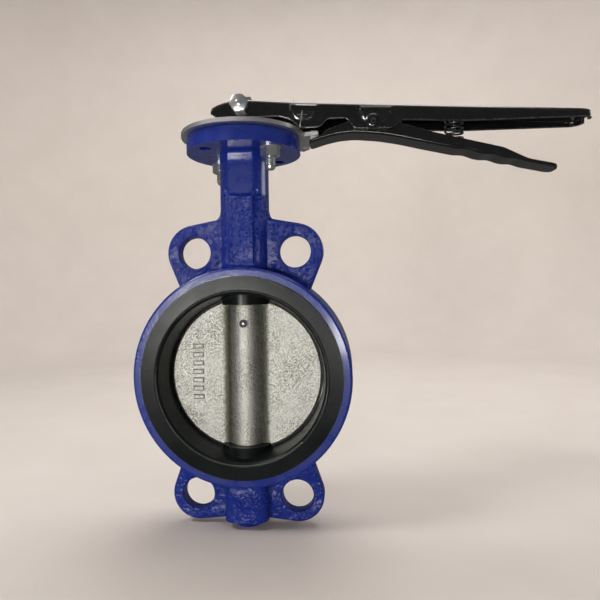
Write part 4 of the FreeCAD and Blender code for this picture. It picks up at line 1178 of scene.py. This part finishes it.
@dataclass
class DiscPin:
    """The taper pin through the disc's hub, domed in front, with a dark rubber ring round each end in place of
    the shadowed gap round the pin: painted shade.

    Attributes:
        high: How high the pin is above the disc's middle.
        big: The pin's radius in front.
        small: The pin's radius at the back.
        hub: The hub's radius.
        shade_ring_half: Half the thickness of a dark ring of painted shade.
        proud: How far the pin's edge stands out of the hub.
        play: The gap round the pin.
    """

    high: float = 40.8
    big: float = 3.1
    small: float = 2.7
    hub: float = 13.0
    shade_ring_half: float = 0.55
    proud: float = 0.3
    play: float = 0.03

    def build(self) -> None:
        """Turn the pin and lay its two dark rings of painted shade."""
        pin = Blank("disc_pin_domed")
        front, back = self.hub + self.proud, -self.hub - self.proud
        shank = [(0.0, back), (self.small - self.play, back), (self.big - self.play, front - 0.9)]
        dome = [(2.1, -0.5), (2.0, 0.25), (1.6, 0.7), (0.9, 0.95), (0.0, 1.0)]
        profile = shank + [(radius, front + out) for radius, out in dome]
        pin.turned(profile, 36, False, facing(0, 0, self.high, -1))
        pin.finish(Body.ROTOR, STAINLESS, "disc_pin")
        # Painted shade: a dark rubber ring round each end of the pin stands where the gap round it lies in
        # shadow.
        for name, side, radius in (("front", -1, self.big - 0.35), ("back", 1, self.small + 0.1)):
            ring = Blank(f"disc_pin_shade_ring_{name}")
            bead = bead_profile(radius, self.hub - 0.05, self.shade_ring_half, 10)
            ring.turned(bead, 36, True, facing(0, 0, self.high, side))
            ring.finish(Body.ROTOR, RING_RUBBER)


@dataclass
class Lever:
    """The black lever: its channel, its front pin and its pivot rivet.

    Attributes:
        channel: The pressed channel.
        pin_place: Where the front pin is, as x and z.
        pin_radius: The front pin's radius.
        dimple_proud: How far the dimples stand out of the walls.
        wire: The radius of the wire that hangs from the front pin.
        rivet_place: Where the pivot rivet is, as x and z.
        rivet_radius: The radius of the rivet's head.
        rivet_high: How far the rivet's head stands out.
        rivet_shank: The radius of the rivet's shank.
    """

    channel: PressedChannel = field(default_factory=lambda: PressedChannel(
        name="lever_arm_pressed",
        spine=[(-23.5, 208.4), (-20, 210.6), (-15, 212.3), (-8, 214.2), (6, 214.4), (46, 210.6),
               (262, 196.3)],
        rim=[(-23.5, 203.7), (-17, 200.4), (30, 200), (39, 197.2), (46.5, 190.6), (62, 190.6), (67, 196.5),
             (82, 196.3), (88, 188.2), (116, 187.6), (124, 193.4), (166, 190.8), (262, 190.4)],
        half_width=14.0,
        bend=3.5,
        sheet=2.5,
        nose=(1.5, 9.0),
        dimples=(Dimple(38.8, 59.6, 208.6, 196.0), Dimple(91.8, 115.4, 204.6, 191.4)),
        hole=7.6,
    ))
    pin_place: tuple[float, float] = (48.0, 200.0)
    pin_radius: float = 2.0
    dimple_proud: float = 0.8
    wire: float = 0.4
    rivet_place: tuple[float, float] = (101.6, 192.7)
    rivet_radius: float = 6.2
    rivet_high: float = 2.4
    rivet_shank: float = 2.98

    def front_pin(self) -> None:
        """Make the front pin, its flat ends staked with a cross."""
        blank = Blank("front_pin_staked")
        half, radius = self.channel.half_width + self.dimple_proud, self.pin_radius
        for side in (-1, 1):
            place = facing(self.pin_place[0], 0, self.pin_place[1], side)
            profile = [(0, 0), (radius - 0.02, 0), (radius - 0.02, half - 0.4), (radius + 0.3, half - 0.1),
                       (radius, half + 0.25), (0.0, half + 0.3)]
            blank.turned(profile, 28, False, place)
        blank.finish(Body.ROTOR, BLACK_COAT, "front_pin")
        marks = Blank("front_pin_stake_marks")
        for side in (-1, 1):
            place = facing(self.pin_place[0], 0, self.pin_place[1], side) @ upright(0, 0, half + 0.3)
            for turn, long in ((0.0, 7.6), (math.pi / 2, 5.6)):
                bar = bmesh.ops.create_cube(marks.mesh, size=1.0)["verts"]
                bmesh.ops.scale(marks.mesh, vec=(long, 0.45, 0.35), verts=bar)
                for dot in bar:
                    if dot.co.z > 0:
                        dot.co.x, dot.co.y = dot.co.x * 0.6, dot.co.y * 0.3
                bmesh.ops.transform(marks.mesh, matrix=place @ Matrix.Rotation(turn, 4, "Z"), verts=bar)
        marks.finish(Body.ROTOR, ZINC_BOLT)

    def locking_wire(self) -> None:
        """Bend the thin wire that hangs from the front pin down the near wall."""
        blank = Blank("front_pin_wire")
        y = -self.channel.half_width - self.dimple_proud - 0.55
        path = [(48.4, y + 1.0, 203.4), (48.3, y, 202.6), (47.9, y, 199.0), (47.2, y, 195.0),
                (46.5, y, 191.4), (46.4, y + 0.7, 190.2)]
        place = Matrix.Translation(path[0])
        ring = bmesh.ops.create_circle(blank.mesh, cap_ends=True, radius=self.wire, segments=10,
                                       matrix=place)
        end = ring["verts"][0].link_faces[0]
        for near, far in zip(path, path[1:]):
            start, (end, _) = end, blank.grow(end, Vector(far) - Vector(near))
            if near != path[0]:
                bmesh.ops.delete(blank.mesh, geom=[start], context="FACES_ONLY")
        blank.finish(Body.ROTOR, ZINC_BOLT)

    def pivot_rivet(self) -> None:
        """Make the pivot rivet with its low domed heads."""
        blank = Blank("pivot_rivet_domed")
        half, big, high = self.channel.half_width + self.dimple_proud, self.rivet_radius, self.rivet_high
        shank = self.rivet_shank
        dome = ((0.93, 0.45), (0.74, 0.82), (0.45, 1.0), (0.3, 0.98), (0.2, 0.7), (0.0, 0.62))
        for side in (-1, 1):
            place = facing(self.rivet_place[0], 0, self.rivet_place[1], side)
            profile = [(0, 0), (shank, 0), (shank, half - 0.8), (big - 0.2, half - 0.8), (big, half - 0.2)]
            profile += [(big * out, half + high * up) for out, up in dome]
            blank.turned(profile, 40, False, place)
        blank.finish(Body.ROTOR, BLACK_COAT, "pivot_rivet")

    def build(self) -> None:
        """Make the lever's pieces."""
        self.channel.build().finish(Body.ROTOR, BLACK_COAT, "lever_arm", crease=40)
        self.front_pin()
        self.locking_wire()
        self.pivot_rivet()


def finger_steps(x: float) -> float:
    """The height that the finger steps add to the trigger's underside at x."""
    steps = ((172.0, 9.0, 1.1), (191.0, 8.0, 1.1), (208.0, 7.0, 0.9))
    return sum(high * smooth_step(1 - abs(x - middle) / reach) for middle, reach, high in steps)


@dataclass
class Trigger:
    """The squeezed lower lever.

    Attributes:
        channel: The pressed channel, open on top.
    """

    channel: PressedChannel = field(default_factory=lambda: PressedChannel(
        name="trigger_pressed",
        spine=[(53, 179.6), (66, 183.4), (76, 185.4), (88, 186.0), (106, 184.2), (122, 181.2), (140, 176.7),
               (160, 172.0), (188, 165.6), (214, 160.0), (238, 154.6)],
        rim=[(53, 181.9), (62.5, 185.3), (66, 189.0), (92, 197.5), (108, 198.0), (124, 191.5), (146, 184.4),
             (198, 170.9), (216, 161.9), (238, 157.0)],
        half_width=11.0,
        bend=1.6,
        sheet=1.9,
        nose=(3.0, 6.0),
        ripple=finger_steps,
        wall_rows=10,
    ))

    def build(self) -> None:
        """Make the trigger."""
        self.channel.build().finish(Body.TRIGGER, BLACK_COAT, "trigger", crease=40)


@dataclass
class ReturnSpring:
    """The coil spring between the lever and the trigger.

    Attributes:
        x: Where its axis is.
        radius: The radius of the wire's middle line.
        wire: The wire's radius.
        low: The height of its lower end.
        high: The height of its upper end.
        open_turns: How many turns stand apart.
        squeezed: What is left of its height when the trigger is squeezed fully. Not used.
        facets: Facets in one turn.
    """

    x: float = 164.0
    radius: float = 6.5
    wire: float = 0.8
    low: float = 175.3
    high: float = 199.3
    open_turns: int = 6
    squeezed: float = 0.62
    facets: int = 28

    def build(self) -> None:
        """Wind the spring: a closed turn, open turns and a closed turn."""
        blank = Blank("trigger_spring_wound")
        place = upright(self.radius, 0, self.wire) @ Matrix.Rotation(math.pi / 2, 4, "X")
        bmesh.ops.create_circle(blank.mesh, cap_ends=False, radius=self.wire, segments=10, matrix=place)
        front = blank.mesh.verts[:] + blank.mesh.edges[:]
        closed_rise = 1.9 * self.wire
        rest = self.high - self.low - 2 * self.wire - 2 * closed_rise
        for turns, rise in ((1, closed_rise), (self.open_turns - 1, rest), (1, closed_rise)):
            steps = turns * self.facets
            made = bmesh.ops.spin(blank.mesh, geom=front, cent=(0, 0, 0), axis=(0, 0, 1),
                                  angle=FULL_TURN * turns, steps=steps, dvec=(0, 0, rise / steps))
            front = made["geom_last"]
        bmesh.ops.holes_fill(blank.mesh, edges=blank.mesh.edges, sides=10)
        bmesh.ops.translate(blank.mesh, vec=(self.x, 0, self.low), verts=blank.mesh.verts)
        piece = blank.finish(Body.ROTOR, SPRING_WIRE, "trigger_spring", crease=60)
        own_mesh(piece)


# ---------------------------------------------------------------- the studio


@dataclass(frozen=True)
class SoftLight:
    """A square lamp that shines on a point.

    Attributes:
        name: Its name.
        place: Where it is, in metres.
        aim: What it shines on, in metres.
        side: The length of its side.
        power: Its power in watts.
        colour: Its colour.
    """

    name: str
    place: Triple
    aim: Triple
    side: float
    power: float
    colour: Triple = (1.0, 0.98, 0.95)

    def build(self) -> None:
        """Hang the lamp."""
        data = bpy.data.lights.new(self.name, "AREA")
        data.size, data.energy, data.color = self.side, self.power, self.colour
        lamp = bpy.data.objects.new(self.name, data)
        lamp.location = self.place
        lamp.rotation_euler = (Vector(self.aim) - Vector(self.place)).to_track_quat("-Z", "Y").to_euler()
        bpy.context.scene.collection.objects.link(lamp)


@dataclass
class Studio:
    """The pale floor with its round wall, the lamps and the sky.

    Attributes:
        floor: The height of the floor, in metres.
        middle: The middle of the round floor, as x and y.
        reach: The radius of the wall.
        tall: The height of the wall above the floor.
        cove: The radius of the bend between floor and wall.
        cove_steps: Facets in that bend.
        round_steps: Facets round the wall.
        sky: The strength of the even light.
        lamps: The lamps.
    """

    floor: float = -0.1211
    middle: tuple[float, float] = (0.08, 0.0)
    reach: float = 1.5
    tall: float = 1.5
    cove: float = 0.5
    cove_steps: int = 12
    round_steps: int = 96
    sky: float = 0.09
    lamps: Sequence[SoftLight] = (
        SoftLight("front", (-0.31, -1.1, -0.04), (0.0, 0.0, 0.0), 0.16, 4.8),
        SoftLight("low_right", (0.10, -1.1, -0.06), (0.1, 0.0, 0.0), 0.12, 1.0),
        SoftLight("high_left", (-0.7, -0.35, 0.9), (0.0, 0.0, 0.05), 0.3, 4.5),
        SoftLight("ceiling", (0.10, -0.10, 1.25), (0.08, 0.0, 0.0), 0.8, 2.0),
        SoftLight("backdrop", (0.10, 0.50, 1.10), (0.10, 0.90, -0.12), 0.9, 8.6),
        SoftLight("far_right", (1.15, 0.45, 0.45), (0.05, 0.0, 0.05), 0.5, 2.0),
    )

    def cove_finish(self) -> bpy.types.Material:
        """The floor's pale woven cover.

        Returns:
            The material.
        """
        made = bpy.data.materials.new("pale_cover")
        made.use_nodes = True
        made.node_tree.nodes.clear()
        desk = Desk(made.node_tree)
        where = desk.place()
        clouds = desk.noise(where, 9.0, 5.0, 0.6)
        colour = desk.tint(clouds, (0.70, 0.64, 0.60, 1), (0.80, 0.75, 0.71, 1))
        shader = desk.put("ShaderNodeBsdfPrincipled", {"Base Color": colour, "Roughness": 0.85})
        desk.put("ShaderNodeOutputMaterial", {"Surface": shader})
        return made

    def build_cove(self) -> None:
        """Turn the floor and wall in one piece."""
        shape = bmesh.new()
        low, high, bend = self.floor, self.floor + self.tall, self.cove
        profile = [(0.0, low), (self.reach - bend, low)]
        for step in range(1, self.cove_steps + 1):
            angle = math.pi / 2 * step / self.cove_steps
            profile.append((self.reach - bend + bend * math.sin(angle), low + bend * (1 - math.cos(angle))))
        profile.append((self.reach, high))
        dots = [shape.verts.new((radius, 0, height)) for radius, height in profile]
        edges = [shape.edges.new(pair) for pair in zip(dots, dots[1:])]
        bmesh.ops.spin(shape, geom=dots + edges, cent=(0, 0, 0), axis=(0, 0, 1), angle=FULL_TURN,
                       steps=self.round_steps, use_merge=True)
        bmesh.ops.remove_doubles(shape, verts=shape.verts, dist=0.0001)
        bmesh.ops.recalc_face_normals(shape, faces=shape.faces)
        bmesh.ops.reverse_faces(shape, faces=shape.faces)
        bmesh.ops.translate(shape, vec=(*self.middle, 0), verts=shape.verts)
        data = bpy.data.meshes.new("pale_cove")
        shape.to_mesh(data)
        shape.free()
        data.shade_smooth()
        data.materials.append(self.cove_finish())
        cove = bpy.data.objects.new("pale_cove", data)
        bpy.context.scene.collection.objects.link(cove)
        cove.visible_glossy = False

    def build_sky(self) -> None:
        """Fill the room with even pale light."""
        world = bpy.data.worlds.new("room")
        world.use_nodes = True
        backdrop = world.node_tree.nodes["Background"]
        backdrop.inputs["Color"].default_value = (1.0, 0.98, 0.96, 1)
        backdrop.inputs["Strength"].default_value = self.sky
        bpy.context.scene.world = world

    def build(self) -> None:
        """Set up the studio."""
        self.build_cove()
        self.build_sky()
        for lamp in self.lamps:
            lamp.build()
        bpy.context.scene.view_settings.view_transform = "Standard"


@dataclass
class Viewpoint:
    """The camera.

    Attributes:
        place: Where it is, in metres.
        right: The direction of the picture's right side.
        up: The direction of the picture's top.
        lens: The focal length for a 36 mm sensor.
    """

    place: Triple = (0.08115, -0.40373, 0.06852)
    right: Triple = (0.995599, 0.092841, -0.012744)
    up: Triple = (0.010390, 0.025793, 0.999613)
    lens: float = 30.52

    def build(self) -> None:
        """Set up the camera and make it the scene's own."""
        data = bpy.data.cameras.new("view")
        data.sensor_width, data.lens = 36.0, self.lens
        data.clip_start, data.clip_end = 0.01, 20.0
        camera = bpy.data.objects.new("view", data)
        right, up = Vector(self.right).normalized(), Vector(self.up).normalized()
        back = right.cross(up)
        turn = Matrix((right, up, back)).transposed().to_4x4()
        camera.matrix_world = Matrix.Translation(self.place) @ turn
        bpy.context.scene.collection.objects.link(camera)
        bpy.context.scene.camera = camera


def main() -> None:
    """Build the valve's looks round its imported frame."""
    logging.basicConfig(level=logging.INFO, format="%(message)s")
    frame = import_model()
    CarriedOver(frame["nodes"]).dress()
    Fasteners().build()
    SeatDetails().build()
    DiscPin().build()
    Lever().build()
    Trigger().build()
    ReturnSpring().build()
    Studio().build()
    Viewpoint().build()
    bpy.context.view_layer.update()


if __name__ == "__main__":
    main()
